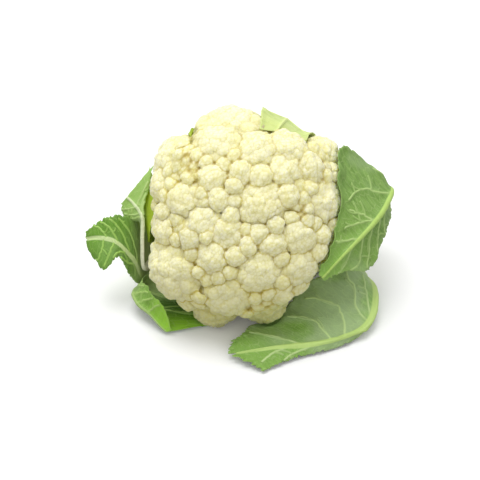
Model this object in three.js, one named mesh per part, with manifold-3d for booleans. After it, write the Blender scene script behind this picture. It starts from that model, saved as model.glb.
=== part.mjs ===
// A cauliflower lying on a table, trimmed as it is sold: the domed curd on its stalk, five leaves
// left round its sides, three scraps of inner leaf and the thick stumps of the leaves cut off.
//
// Everything is drawn in the head's own frame, in millimetres, and then tipped over in one go:
//   x runs across the face of the curd,
//   y runs up the face,
//   z runs out along the stalk's axis and is 0 at the rim, where the curd is widest.
// The finished head rests on z = 0, with the middle of its bounding box over the origin.

import * as THREE from "three";
import { mergeVertices } from "three/addons/utils/BufferGeometryUtils.js";
import Module from "manifold-3d";

const wasm = await Module();
wasm.setup();

// ---------------------------------------------------------------------------------------------
// Driving dimensions

const LEAN = THREE.MathUtils.degToRad(50); // of the stalk's axis, from upright towards -Y
const SEAT = new THREE.Vector3(3, 8.3, 71); // where the middle of the rim ends up

const CURD = { halfWidth: 79, halfLength: 86, height: 62, fullness: 2.4 };
const FLAT = { angle: THREE.MathUtils.degToRad(-44), distance: 90 }; // where a leaf presses the curd in
const SWELL = 1.35; // florets press together, so each is bigger than the part of it that shows
const CORE = { inset: 11, underside: 14, top: 0.8 }; // the heart, shorter at the top where leaves curl in
const NECK = { rimRadius: 44, foot: -45.6, footRadius: 21 }; // the cone below it
// the row of florets behind the rim
const SKIRT = { florets: 14, radius: 14.5, halfWidth: 57, halfLength: 58, depth: -15 };
const BRANCH = { root: 6.5, tip: 9.5, start: -38, spread: 14 }; // from the stalk to each of them
const STALK = { top: -46, end: -81.4, neckRadius: 21, radius: 25 }; // cut so that its rim meets the table

const GAP = 0.4; // left between two pieces that touch
const BLADE = 2; // a leaf's thickness away from its rib
const CLEAR = 3; // from the middle of a blade to the nearest floret
const TABLE = 1.2; // the least height of the middle of a blade over the table

// The florets that make the face: across, up, and the radius that shows. The dome gives their depth.
const FLORETS = [
  // the spiral at the middle and the small ones packed about it
  [11.5, 6.5, 18],
  [30.5, 13.5, 7.5],
  [28.5, 31, 10.5],
  [11.5, 26.5, 7.5],
  [-4, 30.5, 7.5],
  [-8, 20, 5.5],
  [-19.5, 10.5, 7.5],
  [-10.5, -1, 5.5],
  [-13.5, -13.5, 10.5],
  [9.5, -15, 6],
  [2.5, -23, 6],
  [20, -22, 8.5],
  [21.5, -8.5, 5.5],
  // the ring about those
  [-24, 26, 9],
  [-43.5, 10, 12.5],
  [-30, -5.5, 11],
  [-28, -17, 4.5],
  [-40.5, -18.5, 7],
  [-24, -31.5, 11],
  [-7, -30.5, 6.5],
  [8.5, -41, 15],
  [38.5, -38, 13.5],
  [38.5, -17, 11],
  [55, 8.5, 16.5],
  [46.5, 34.5, 10.5],
  [31, 50, 12.5],
  [8.5, 44.5, 13.5],
  [-19.5, 50, 15],
  // the shoulders, down to the rim
  [-8, 69, 18],
  [60.5, 45, 14],
  [67, 30.5, 7],
  [66, -9, 7],
  [57, -16, 7],
  [54.5, -28, 6],
  [40, -54, 6.5],
  [27, -58, 8],
  [15.5, -69, 14.5],
  [-12.5, -57.5, 16.5],
  [-24, -72.5, 14.5],
  [-43.5, -65, 8],
  [-53, -42, 20.5],
  [-56.5, -10, 10],
  [-62.5, 1, 7],
  [-62.5, 22, 10.5],
  [-52.5, 41.5, 16],
];

// A leaf is a sheet between three rails: its two margins and its rib, from the stalk to the tip.
// ribHeight and ribWidth go from the stalk to the tip; cup bellies the sheet out between the rails.
const LEAVES = {
  // comes out behind the right side and folds forward over it, its underside outwards
  leaf_right: {
    left: [
      [17, 7, -68],
      [54, 22, -60],
      [88, 38, -40],
      [101, 36, -10],
      [76, 51, 9],
      [71, 27, 27],
      [71.5, 1, 34],
      [64, -23, 36],
      [54, -43, 34],
    ],
    rib: [
      [17, 1, -71],
      [54, 8, -66],
      [98, 17, -44],
      [116, 20, -12],
      [107, 6, 8],
      [96, -7, 18],
      [83, -21, 26],
      [70, -34, 31],
      [57, -48, 33],
    ],
    right: [
      [17, -5, -68],
      [58, -5, -62],
      [96, 0, -46],
      [114, 5, -26],
      [111, -8, -8],
      [105, -22, 2],
      [95, -42, 10],
      [76, -43, 22],
      [59, -50, 31],
    ],
    ribHeight: [9, 1.2],
    ribWidth: [9, 2],
    cup: 3,
  },
  // comes out low behind the right side, turns up there, then lies forward along the table
  leaf_front: {
    left: [
      [15, -8, -66],
      [50, -22, -54],
      [76, -24, -36],
      [80, -34, -16],
      [66, -44, -8],
      [46, -54, -12],
      [31, -72, -13],
      [5, -85, -1],
      [-2, -91, 11],
      [-12, -97, 17],
    ],
    rib: [
      [13, -11, -70],
      [50, -30, -62],
      [84, -46, -46],
      [100, -55, -26],
      [100.5, -72, -8],
      [92, -87, 5],
      [69, -96, 13],
      [42, -99, 19],
      [15, -101, 23],
      [-13, -106, 24],
    ],
    right: [
      [9, -14, -68],
      [46, -36, -58],
      [78, -55, -42],
      [95, -66, -27],
      [97, -80, -10],
      [82, -96, 7],
      [60, -103.5, 16],
      [42, -107.5, 21],
      [27, -112, 27],
      [13, -118, 33],
    ],
    ribHeight: [8, 1.2],
    ribWidth: [8, 2.5],
    cup: -2,
  },
  // bends away to the left, its upper face outwards
  leaf_left: {
    left: [
      [-16, 0, -69],
      [-54, -6, -63],
      [-76, -12, -44],
      [-83, -9, -24],
      [-91, -2, -6],
      [-103, -1, 1],
      [-115, -6, -2],
      [-123, -13, -8],
    ],
    rib: [
      [-15, -6, -71],
      [-51, -16, -67],
      [-77, -32, -50],
      [-88, -44, -28],
      [-87, -38, -9],
      [-99, -24, 2],
      [-112, -20, -1],
      [-124, -20, -9],
    ],
    right: [
      [-12, -11, -69],
      [-47, -25, -65],
      [-74, -45, -49],
      [-88, -54, -30],
      [-91, -46, -9],
      [-97, -33, 3],
      [-108, -42, 1],
      [-121, -24, -8],
    ],
    ribHeight: [7, 1.2],
    ribWidth: [7, 2],
    cup: -1,
  },
  // cradles the curd's lower left side, and its tip lies on the table
  leaf_lower_left: {
    left: [
      [-11, -12, -62],
      [-40, -30, -52],
      [-68, -42, -34],
      [-79, -49, -13],
      [-74, -56, -3],
      [-69, -63, 3],
      [-61, -71, 7],
      [-56, -88, 3],
    ],
    rib: [
      [-9, -15, -66],
      [-36, -38, -55],
      [-68, -52, -38],
      [-85, -59, -20],
      [-83, -68, -9],
      [-73, -76, -3],
      [-66, -84, 0],
      [-60, -90, 1],
    ],
    right: [
      [-5, -17, -62],
      [-26, -40, -50],
      [-46, -58, -36],
      [-52, -63, -26],
      [-46, -68, -20],
      [-40, -74, -14],
      [-36, -81, -8],
      [-49, -87, -1],
    ],
    ribHeight: [7, 1],
    ribWidth: [7, 2],
    cup: 1,
  },
  // stands up between the curd and the leaf on the left, on a broad white stem
  leaf_upper_left: {
    left: [
      [-14, 2, -58],
      [-50, -12, -54],
      [-72, -30, -40],
      [-80, -38, -18],
      [-80, -22, -8],
      [-81, -5, -6],
      [-91, -1, -8],
      [-97, 6, -10],
      [-91, 12, -10],
    ],
    rib: [
      [-15, -1.3, -60],
      [-48, -16, -56],
      [-71, -34, -40],
      [-78, -40, -16],
      [-78, -22, -3],
      [-77, -4, 0],
      [-80, 4, -3],
      [-83, 11, -6],
      [-84, 18, -8],
    ],
    right: [
      [-14, -4, -58],
      [-46, -20, -54],
      [-70, -38, -38],
      [-77, -42, -14],
      [-76, -22, -3],
      [-73, -3, -4],
      [-72, 9, -6],
      [-73, 24, -8],
      [-73, 37, -9],
    ],
    ribHeight: [5, 1.2],
    ribWidth: [6, 3],
    cup: 1,
  },
  // a pale young leaf that curls over the rim at the top
  inner_leaf_top: {
    left: [
      [4, 17, -50],
      [6, 48, -40],
      [11, 74, -22],
      [14, 81, -5],
      [15, 74, 7],
      [15, 66, 9],
    ],
    rib: [
      [7, 16, -50],
      [18, 45, -40],
      [28, 67, -26],
      [33, 71, -9],
      [31, 66, 4],
      [29, 60, 7],
    ],
    right: [
      [10, 14, -50],
      [28, 38, -40],
      [44, 56, -28],
      [53, 59, -12],
      [49, 59, 0],
      [45, 56, 4],
    ],
    ribHeight: [3, 0.6],
    ribWidth: [6, 2],
    cup: 1,
  },
  // a scrap of the same kind on the other side of the topmost floret
  inner_leaf_crown: {
    left: [
      [-12, 14, -52],
      [-28, 42, -42],
      [-38, 60, -24],
      [-38.5, 59, -6],
    ],
    rib: [
      [-9, 15, -52],
      [-22, 44, -42],
      [-34, 64, -24],
      [-36, 63.5, -5],
    ],
    right: [
      [-6, 17, -52],
      [-16, 46, -42],
      [-30, 68, -24],
      [-33, 66, -6],
    ],
    ribHeight: [3, 0.6],
    ribWidth: [5, 2],
    cup: 1,
  },
  // and one between the white stem and the curd
  inner_leaf_left: {
    left: [
      [-18, 4, -50],
      [-46, 4, -42],
      [-70, -4, -26],
      [-76, -8, -10],
    ],
    rib: [
      [-18, 0, -50],
      [-46, -2, -42],
      [-70, -12, -26],
      [-75, -16, -8],
    ],
    right: [
      [-18, -4, -50],
      [-46, -8, -42],
      [-70, -20, -26],
      [-73, -26, -8],
    ],
    ribHeight: [3, 0.6],
    ribWidth: [5, 2],
    cup: 1,
  },
};

// The stumps of the leaves cut away: the angle round the stalk, the length out from it, the width
// at the cut, where on the stalk each one starts and how far it then rises towards the rim.
const STUMPS = [
  { angle: 46, reach: 40, width: 24, start: -61, rise: 22 },
  { angle: 79, reach: 50, width: 31, start: -71, rise: 34 },
  { angle: 119, reach: 52, width: 29, start: -71, rise: 34 },
  { angle: 151, reach: 46, width: 30, start: -62, rise: 34 },
  { angle: 280, reach: 22, width: 22, start: -59, rise: 20 },
];
const STUMP_THICKNESS = 6;

// ---------------------------------------------------------------------------------------------
// Closed meshes, and joining and cutting them

function solid(geometry) {
  const bare = geometry.index ? geometry.toNonIndexed() : geometry.clone();
  bare.deleteAttribute("normal");
  bare.deleteAttribute("uv");
  const merged = mergeVertices(bare, 1e-4);
  return new wasm.Manifold(
    new wasm.Mesh({
      numProp: 3,
      vertProperties: merged.attributes.position.array,
      triVerts: new Uint32Array(merged.index.array),
    }),
  );
}

function geometryOf(manifold) {
  const mesh = manifold.getMesh();
  const geometry = new THREE.BufferGeometry();
  geometry.setAttribute("position", new THREE.BufferAttribute(mesh.vertProperties, 3));
  geometry.setIndex(new THREE.BufferAttribute(mesh.triVerts, 1));
  geometry.computeVertexNormals();
  return geometry;
}

const joined = (solids) => solids.reduce((whole, next) => whole.add(next));

// The body without the pockets that joining balls can seal inside it.
const outerSkin = (body) => body.decompose().reduce((a, b) => (a.volume() > b.volume() ? a : b));

// A LatheGeometry turns about Y, so its profile is stood up along the stalk's axis.
function turned(profile, segments) {
  const points = profile.map(([radius, z]) => new THREE.Vector2(radius, z));
  return solid(new THREE.LatheGeometry(points, segments).rotateX(Math.PI / 2));
}

function ball({ x, y, z, radius }) {
  const detail = radius > 18.5 ? 2 : 1;
  return solid(new THREE.IcosahedronGeometry(radius, detail).translate(x, y, z));
}

// ---------------------------------------------------------------------------------------------
// The curd

// How far out a place on the face is: 0 in the middle, 1 on an outline drawn in by this inset.
function reach(x, y, inset) {
  const { halfWidth, halfLength, fullness } = CURD;
  const across = Math.abs(x) / (halfWidth - inset);
  const up = Math.abs(y) / (halfLength - inset);
  const towardsFlat = x * Math.cos(FLAT.angle) + y * Math.sin(FLAT.angle);
  const flat = Math.max(0, towardsFlat) / (FLAT.distance - inset);
  return across ** fullness + up ** fullness + flat ** 8;
}

// The depth of the dome, drawn in by this inset, at a place on the face.
function domeDepth(x, y, inset) {
  return (CURD.height - inset) * Math.max(0, 1 - reach(x, y, inset)) ** (1 / CURD.fullness);
}

// The way out of the dome at a point in it.
function outwardsFrom({ x, y, z }) {
  const { halfWidth, halfLength, height, fullness } = CURD;
  const slope = (along, half) => (Math.sign(along) * Math.abs(along / half) ** (fullness - 1)) / half;
  return new THREE.Vector3(slope(x, halfWidth), slope(y, halfLength), slope(z, height)).normalize();
}

// Each floret keeps its outermost point and swells inwards from it, into its neighbours.
function faceFlorets() {
  return FLORETS.map(([x, y, shown]) => {
    const centre = new THREE.Vector3(x, y, domeDepth(x, y, shown));
    const radius = shown * SWELL;
    centre.addScaledVector(outwardsFrom(centre), shown - radius);
    return { x: centre.x, y: centre.y, z: centre.z, radius };
  });
}

// A row of florets just behind the rim, which the face hides.
function skirtFlorets() {
  const { florets, radius, halfWidth, halfLength, depth } = SKIRT;
  return Array.from({ length: florets }, (_, i) => {
    const turn = (2 * Math.PI * (i + 0.5)) / florets;
    return { x: halfWidth * Math.cos(turn), y: halfLength * Math.sin(turn), z: depth, radius };
  });
}

// A tapered branch from the top of the stalk to a floret of the skirt.
function branch(floret) {
  const { root, tip, start, spread } = BRANCH;
  const turn = Math.atan2(floret.y, floret.x);
  const from = new THREE.Vector3(spread * Math.cos(turn), spread * Math.sin(turn), start);
  const to = new THREE.Vector3(floret.x, floret.y, floret.z);
  const along = new THREE.Vector3().subVectors(to, from);
  const rod = new THREE.CylinderGeometry(tip, root, along.length(), 6, 1);
  const up = new THREE.Vector3(0, 1, 0);
  rod.applyQuaternion(new THREE.Quaternion().setFromUnitVectors(up, along.clone().normalize()));
  rod.translate(...from.add(to).multiplyScalar(0.5).toArray());
  return solid(rod);
}

// The solid heart: the dome drawn in, on a neck that narrows to the stalk. A point of a sphere is
// first thrown well outside the dome, then brought in until it is as far out as it was on the sphere.
const OUTSIDE = 200;

function heart() {
  const geometry = new THREE.SphereGeometry(1, 16, 8).rotateX(Math.PI / 2);
  const position = geometry.attributes.position;
  for (let i = 0; i < position.count; i++) {
    const [x, y, z] = [position.getX(i), position.getY(i), position.getZ(i)];
    const place = new THREE.Vector2(x, y).multiplyScalar(OUTSIDE);
    const share = Math.hypot(x, y) ** CURD.fullness;
    while (reach(place.x, place.y, CORE.inset) > share) place.multiplyScalar(0.99);
    const depth = z > 0 ? CURD.height - CORE.inset : CORE.underside;
    position.setXYZ(i, place.x, place.y * (y > 0 ? CORE.top : 1), z * depth);
  }
  const neck = [
    [0, NECK.foot],
    [NECK.footRadius, NECK.foot],
    [NECK.rimRadius, 0],
    [0, 0],
  ];
  return solid(geometry).add(turned(neck, 16));
}

function makeCurd(face, skirt) {
  const parts = [heart(), ...face.map(ball), ...skirt.map(ball), ...skirt.map(branch)];
  return outerSkin(joined(parts));
}

// ---------------------------------------------------------------------------------------------
// The stalk

function makeStalk(margin = 0) {
  const { top, end, neckRadius, radius } = STALK;
  return turned(
    [
      [0, end],
      [radius - 1.5 + margin, end],
      [radius + margin, end + 1.5],
      [radius + 1 + margin, end + 16],
      [radius - 1 + margin, top - 10],
      [neckRadius + margin, top],
      [0, top],
    ],
    28,
  );
}

// ---------------------------------------------------------------------------------------------
// Leaves and stumps

const ACROSS = [-1, -0.72, -0.44, -0.2, -0.07, 0, 0.07, 0.2, 0.44, 0.72, 1];

const toVectors = (points) => points.map((point) => new THREE.Vector3(...point));
const rail = (points) => new THREE.CatmullRomCurve3(toVectors(points), false, "catmullrom");
const UPRIGHT = new THREE.Vector3(0, Math.sin(LEAN), Math.cos(LEAN)); // the world's up, in the head's frame
const tableHeight = (point) => SEAT.z + point.dot(UPRIGHT);

// Moves a point of a sheet out of every floret, and up off the table.
function cleared(point, florets) {
  for (const { x, y, z, radius } of florets) {
    const centre = new THREE.Vector3(x, y, z);
    const away = new THREE.Vector3().subVectors(point, centre);
    const least = radius + CLEAR;
    if (away.length() < least) point.copy(centre).add(away.setLength(least));
  }
  const short = TABLE - tableHeight(point);
  if (short > 0) point.addScaledVector(UPRIGHT, short);
  return point;
}

// The middle of the sheet as rows of points, one row for each step along the rails.
function sheet({ left, rib, right, cup }, florets, steps) {
  const rails = [rail(left), rail(rib), rail(right)];
  return Array.from({ length: steps + 1 }, (_, i) => {
    const [l, m, r] = rails.map((curve) => curve.getPoint(i / steps));
    const along = rails[1].getTangent(i / steps);
    const outwards = new THREE.Vector3().subVectors(r, l).cross(along).normalize();
    return ACROSS.map((a) => {
      const point = m.clone().lerp(a < 0 ? l : r, Math.abs(a));
      point.addScaledVector(outwards, cup * 4 * Math.abs(a) * (1 - Math.abs(a)));
      return cleared(point, florets);
    });
  });
}

// Half the sheet's thickness at one point: the blade, and the rib's swelling in its middle.
function halfThickness(rows, i, j, { ribHeight, ribWidth, blade = BLADE }) {
  const share = i / (rows.length - 1);
  const middle = (ACROSS.length - 1) / 2;
  const off = rows[i][j].distanceTo(rows[i][middle]);
  const height = THREE.MathUtils.lerp(...ribHeight, Math.sqrt(share));
  const width = THREE.MathUtils.lerp(...ribWidth, Math.sqrt(share));
  return (blade + height * Math.exp(-((off / width) ** 2))) / 2;
}

// A closed body round a sheet.
function thickened(rows, shape) {
  const across = rows[0].length;
  const { clamp } = THREE.MathUtils;
  const at = (i, j) => rows[clamp(i, 0, rows.length - 1)][clamp(j, 0, across - 1)];
  const upper = [];
  const lower = [];
  rows.forEach((row, i) =>
    row.forEach((point, j) => {
      const along = new THREE.Vector3().subVectors(at(i + 1, j), at(i - 1, j));
      const over = new THREE.Vector3().subVectors(at(i, j + 1), at(i, j - 1));
      const normal = along.cross(over).setLength(halfThickness(rows, i, j, shape));
      upper.push(point.clone().add(normal));
      lower.push(point.clone().sub(normal));
    }),
  );
  const points = [...upper, ...lower];
  const index = [];
  const quad = (a, b, c, d) => index.push(a, b, c, a, c, d);
  const top = (i, j) => i * across + j;
  const bottom = (i, j) => upper.length + top(i, j);
  const last = rows.length - 1;
  for (let i = 0; i < last; i++) {
    for (let j = 0; j < across - 1; j++) {
      quad(top(i, j), top(i + 1, j), top(i + 1, j + 1), top(i, j + 1));
      quad(bottom(i, j), bottom(i, j + 1), bottom(i + 1, j + 1), bottom(i + 1, j));
    }
    quad(top(i, 0), bottom(i, 0), bottom(i + 1, 0), top(i + 1, 0));
    quad(top(i, across - 1), top(i + 1, across - 1), bottom(i + 1, across - 1), bottom(i, across - 1));
  }
  for (let j = 0; j < across - 1; j++) {
    quad(top(0, j), top(0, j + 1), bottom(0, j + 1), bottom(0, j));
    quad(top(last, j), bottom(last, j), bottom(last, j + 1), top(last, j + 1));
  }
  const geometry = new THREE.BufferGeometry().setFromPoints(points);
  geometry.setIndex(index);
  return solid(geometry);
}

function makeLeaf(shape, florets, stalk, stepsPerPoint = 2) {
  const steps = shape.rib.length * stepsPerPoint;
  const rows = sheet(shape, florets, steps);
  return thickened(rows, shape).subtract(stalk);
}

// A stump leaves the stalk, bends up under the curd and ends in a straight cut.
function stumpRails({ angle, reach, width, start, rise }) {
  const turn = THREE.MathUtils.degToRad(angle);
  const outward = [Math.cos(turn), Math.sin(turn)];
  const place = (out, side, z) => [
    outward[0] * out - outward[1] * side,
    outward[1] * out + outward[0] * side,
    z,
  ];
  const stations = [
    [STALK.radius - 7, 8, start],
    [STALK.radius + reach * 0.35, 10, start + rise * 0.1],
    [STALK.radius + reach * 0.75, width * 0.42, start + rise * 0.45],
    [STALK.radius + reach, width * 0.5, start + rise],
  ];
  return {
    left: stations.map(([out, half, z]) => place(out, half, z + half * 0.25)),
    rib: stations.map(([out, , z]) => place(out, 0, z)),
    right: stations.map(([out, half, z]) => place(out, -half, z + half * 0.25)),
    ribHeight: [STUMP_THICKNESS - 1, STUMP_THICKNESS - 2],
    ribWidth: [7, 9],
    cup: 0,
  };
}

// ---------------------------------------------------------------------------------------------
// The finished head

const MATERIALS = {
  curd: new THREE.MeshStandardMaterial({ color: 0xefe6b8, roughness: 0.75, metalness: 0 }),
  leaf: new THREE.MeshStandardMaterial({ color: 0x88a65a, roughness: 0.55, metalness: 0 }),
  inner: new THREE.MeshStandardMaterial({ color: 0xd4dd94, roughness: 0.55, metalness: 0 }),
  stalk: new THREE.MeshStandardMaterial({ color: 0xdfe3bd, roughness: 0.6, metalness: 0 }),
};

const head = new THREE.Group();
head.rotation.x = LEAN;
head.position.copy(SEAT);

function place(name, manifold, material) {
  const mesh = new THREE.Mesh(geometryOf(manifold), material);
  mesh.name = name;
  head.add(mesh);
}

const face = faceFlorets();
const skirt = skirtFlorets();
const florets = [...face, ...skirt];
const stalkWithGap = makeStalk(GAP);

place("curd", makeCurd(face, skirt), MATERIALS.curd);
place("stalk", makeStalk(), MATERIALS.stalk);
for (const [name, shape] of Object.entries(LEAVES)) {
  const material = name.startsWith("inner") ? MATERIALS.inner : MATERIALS.leaf;
  place(name, makeLeaf(shape, florets, stalkWithGap), material);
}
STUMPS.forEach((stump, i) => {
  const petiole = makeLeaf(stumpRails(stump), florets, stalkWithGap, 1);
  place(`cut_petiole_${i + 1}`, petiole, MATERIALS.stalk);
});

const cauliflower = new THREE.Group();
cauliflower.add(head);

export default cauliflower;
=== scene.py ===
# %% [markdown]
# # A cauliflower, trimmed for sale
# A cauliflower is a flower head that never opens: a white dome of crowded buds, the curd, carried
# on a thick stalk and wrapped in leaves. This one lies on a table with its face tipped towards
# the viewer. Most of its leaves are cut away. Five are left round the sides, and three young ones
# stand close to the curd.
#
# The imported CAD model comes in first. It has every piece at its true size and place, but plainly
# made, and each one is replaced below by one or more finer pieces.

import math

import bmesh
import bpy
import numpy as np
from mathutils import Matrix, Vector


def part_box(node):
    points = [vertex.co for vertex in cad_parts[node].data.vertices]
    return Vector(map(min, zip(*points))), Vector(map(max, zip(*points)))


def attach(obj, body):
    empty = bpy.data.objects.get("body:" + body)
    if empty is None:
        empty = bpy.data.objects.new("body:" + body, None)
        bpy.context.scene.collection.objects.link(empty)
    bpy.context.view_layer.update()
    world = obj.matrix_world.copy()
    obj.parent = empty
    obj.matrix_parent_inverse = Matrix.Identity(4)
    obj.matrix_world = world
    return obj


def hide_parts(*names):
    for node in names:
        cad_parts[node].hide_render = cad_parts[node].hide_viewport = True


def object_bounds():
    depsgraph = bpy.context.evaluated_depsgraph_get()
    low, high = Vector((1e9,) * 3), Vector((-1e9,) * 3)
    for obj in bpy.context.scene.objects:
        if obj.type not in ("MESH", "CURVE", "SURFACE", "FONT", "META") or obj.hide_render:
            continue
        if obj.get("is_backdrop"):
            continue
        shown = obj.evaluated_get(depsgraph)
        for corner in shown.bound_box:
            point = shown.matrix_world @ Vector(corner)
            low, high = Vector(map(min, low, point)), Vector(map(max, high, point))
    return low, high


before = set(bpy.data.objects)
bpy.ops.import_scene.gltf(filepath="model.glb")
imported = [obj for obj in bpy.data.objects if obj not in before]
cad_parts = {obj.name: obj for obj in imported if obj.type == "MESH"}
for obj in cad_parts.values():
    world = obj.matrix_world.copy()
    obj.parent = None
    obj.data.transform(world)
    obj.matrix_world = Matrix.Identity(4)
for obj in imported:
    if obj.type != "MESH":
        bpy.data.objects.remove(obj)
cad_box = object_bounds()
print("CAD nodes:", ", ".join(sorted(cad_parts)))

# %% [markdown]
# ## The head's own frame
# A plant is easiest to describe standing up, so the pieces are drawn in millimetres in the head's
# own frame: x across the face, y up it and z out along the stalk, 0 at the widest place. One turn
# and one shift then lay everything down as it lies on the table. The CAD has the same two numbers.

# %% From the head's frame to the table
LEAN = math.radians(50)
SEAT = np.array([3.0, 8.3, 71.0])
MM_PER_METRE = 1000
TURN = np.array(
    [
        [1, 0, 0],
        [0, math.cos(LEAN), -math.sin(LEAN)],
        [0, math.sin(LEAN), math.cos(LEAN)],
    ]
)
UPRIGHT = TURN[2]  # the table's up, as the head's frame sees it


def to_table(points):
    """Points of the head's frame, in millimetres, to metres on the table."""
    return (np.asarray(points) @ TURN.T + SEAT) / MM_PER_METRE


TINY = 1e-9  # keeps a division from meeting 0


def unit(vectors):
    length = np.linalg.norm(vectors, axis=-1, keepdims=True)
    return vectors / np.maximum(length, TINY)


print("middle of the head on the table, in m:", to_table([0, 0, 0]).round(3).tolist())

# %% [markdown]
# ## Building node trees
# Materials and Geometry Nodes are both trees of nodes, so one small class writes both. Another
# stands for a socket, and sums on it are written as sums: `1 - mask` adds a Math node by itself.
# Every other node comes from `node`, which takes its type, its settings and what goes into its
# sockets.

# %% Nodes as expressions
class Value:
    """An output socket that can be added, multiplied and compared like a number."""

    def __init__(self, tree, socket):
        self.tree, self.socket = tree, socket

    def maths(self, operation, other, clamp=False):
        settings = {"operation": operation, "use_clamp": clamp}
        return self.tree.node("ShaderNodeMath", settings, {0: self, 1: other})

    def reflected(self, operation, other):
        return self.tree.node("ShaderNodeMath", {"operation": operation}, {0: other, 1: self})

    def __add__(self, other):
        return self.maths("ADD", other)

    def __mul__(self, other):
        return self.maths("MULTIPLY", other)

    def __rsub__(self, other):
        return self.reflected("SUBTRACT", other)

    def __rtruediv__(self, other):
        return self.reflected("DIVIDE", other)

    __radd__ = __add__
    __rmul__ = __mul__

    def clamped(self):
        return self.maths("ADD", 0.0, clamp=True)

    def most(self, other):
        return self.maths("MAXIMUM", other)

    def step(self, low, high):
        """0 below low and 1 above high, with a soft change between them."""
        settings = {"interpolation_type": "SMOOTHSTEP"}
        values = {"Value": self, "From Min": low, "From Max": high}
        return self.tree.node("ShaderNodeMapRange", settings, values)


class Tree:
    """Adds nodes to a node tree."""

    def __init__(self, tree):
        self.tree = tree

    def node(self, kind, settings=None, values=None, output=0):
        made = self.tree.nodes.new(kind)
        for name, setting in (settings or {}).items():
            setattr(made, name, setting)
        for name, value in (values or {}).items():
            self.feed(made.inputs[name], value)
        return Value(self, made.outputs[output]) if made.outputs else made

    def feed(self, socket, value):
        if isinstance(value, Value):
            self.tree.links.new(value.socket, socket)
        else:
            socket.default_value = value

    def attribute(self, name):
        """A measure on the points of a piece, read in Geometry Nodes."""
        return self.node("GeometryNodeInputNamedAttribute", {"data_type": "FLOAT"}, {"Name": name})


# %% [markdown]
# ## Pieces
# Each piece ends as one plain mesh at the origin, with its place in its points, its shade smooth
# and its measures kept as attributes on its points. The materials read those attributes: how deep
# a crease is, how near a vein, how far from the edge.

# %% Make, finish and register a piece
def store(mesh, measures):
    for key, values in measures.items():
        layer = mesh.attributes.new(key, "FLOAT", "POINT")
        layer.data.foreach_set("value", np.asarray(values, np.float32))


def mesh_object(name, points, faces=(), edges=(), **measures):
    mesh = bpy.data.meshes.new(name)
    mesh.from_pydata(np.asarray(points).tolist(), edges, faces)
    store(mesh, measures)
    made = bpy.data.objects.new(name, mesh)
    bpy.context.scene.collection.objects.link(made)
    return made


def evaluated(thing):
    """The thing's mesh after its modifiers, as a plain mesh, with the modifiers gone."""
    graph = bpy.context.evaluated_depsgraph_get()
    made = bpy.data.meshes.new_from_object(thing.evaluated_get(graph), depsgraph=graph)
    thing.modifiers.clear()
    thing.data = made
    return thing


def points_of(mesh):
    flat = np.empty(len(mesh.vertices) * 3, np.float32)
    mesh.vertices.foreach_get("co", flat)
    return flat.reshape(-1, 3).astype(float)


TABLE_CONTACT = 0.0002  # metres: no point sinks below this, so what lies on the table is flat there


def lay_down(thing):
    """Moves a piece drawn in the head's frame to the table and turns its faces outwards."""
    points = to_table(points_of(thing.data))
    points[:, 2] = np.maximum(points[:, 2], TABLE_CONTACT)
    thing.data.vertices.foreach_set("co", points.astype(np.float32).ravel())
    shell = bmesh.new()
    shell.from_mesh(thing.data)
    bmesh.ops.recalc_face_normals(shell, faces=shell.faces)
    shell.to_mesh(thing.data)
    shell.free()
    thing.data.shade_smooth()
    thing.data.update()
    return thing


def register(thing, node, material):
    """The piece rides on the head, stands for a CAD node and takes the finish of a slot."""
    thing.data.materials.clear()
    thing.data.materials.append(material)
    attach(thing, "root")
    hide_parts(node)
    low, high = (np.array(corner) * MM_PER_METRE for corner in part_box(node))
    spots = points_of(thing.data) * MM_PER_METRE
    over = np.maximum(low - spots.min(0), spots.max(0) - high).max()
    print(f"{thing.name}: {len(thing.data.polygons)} faces, {over:.1f} mm past its CAD node's box")


def geometry_tree(name, inputs):
    """A Geometry Nodes group with these named inputs, and the node that gives them."""
    group = bpy.data.node_groups.new(name, "GeometryNodeTree")
    ports = group.interface
    ports.new_socket("Geometry", in_out="INPUT", socket_type="NodeSocketGeometry")
    for label, kind in inputs.items():
        ports.new_socket(label, in_out="INPUT", socket_type=kind)
    ports.new_socket("Geometry", in_out="OUTPUT", socket_type="NodeSocketGeometry")
    tree = Tree(group)
    source = group.nodes.new("NodeGroupInput")
    given = {socket.name: Value(tree, socket) for socket in source.outputs if socket.name}
    return group, tree, given


def end_tree(tree, geometry, material):
    real = tree.node("GeometryNodeRealizeInstances", {}, {"Geometry": geometry})
    values = {"Geometry": real, "Material": material}
    painted = tree.node("GeometryNodeSetMaterial", {}, values)
    tree.node("NodeGroupOutput", {}, {"Geometry": painted})


def use_tree(thing, group, **inputs):
    """Adds the group to the thing as a modifier, with its inputs set by their identifiers."""
    modifier = thing.modifiers.new(group.name, "NODES")
    modifier.node_group = group
    for socket in group.interface.items_tree:
        label = socket.name.replace(" ", "_").lower()
        if socket.in_out == "INPUT" and label in inputs:
            modifier[socket.identifier] = inputs[label]


# %% [markdown]
# ## The curd: where the florets sit
# The curd is a dome of florets, the largest about 45 mm across and the smallest about 9 mm. They
# follow no simple rule, since each grew as its neighbours let it, so the face has its own list:
# how far across and up each floret is, and the radius that shows. The dome under them is a
# superellipsoid, fuller than a ball at the shoulders, which gives each one how far out it is,
# unless the list says. One side of the dome is pressed in by a leaf.
#
# Florets crowd, so each is really bigger than the part that shows. Each ball keeps its outermost
# point and swells inwards from it, into its neighbours, until no gap is left between them.

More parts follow.
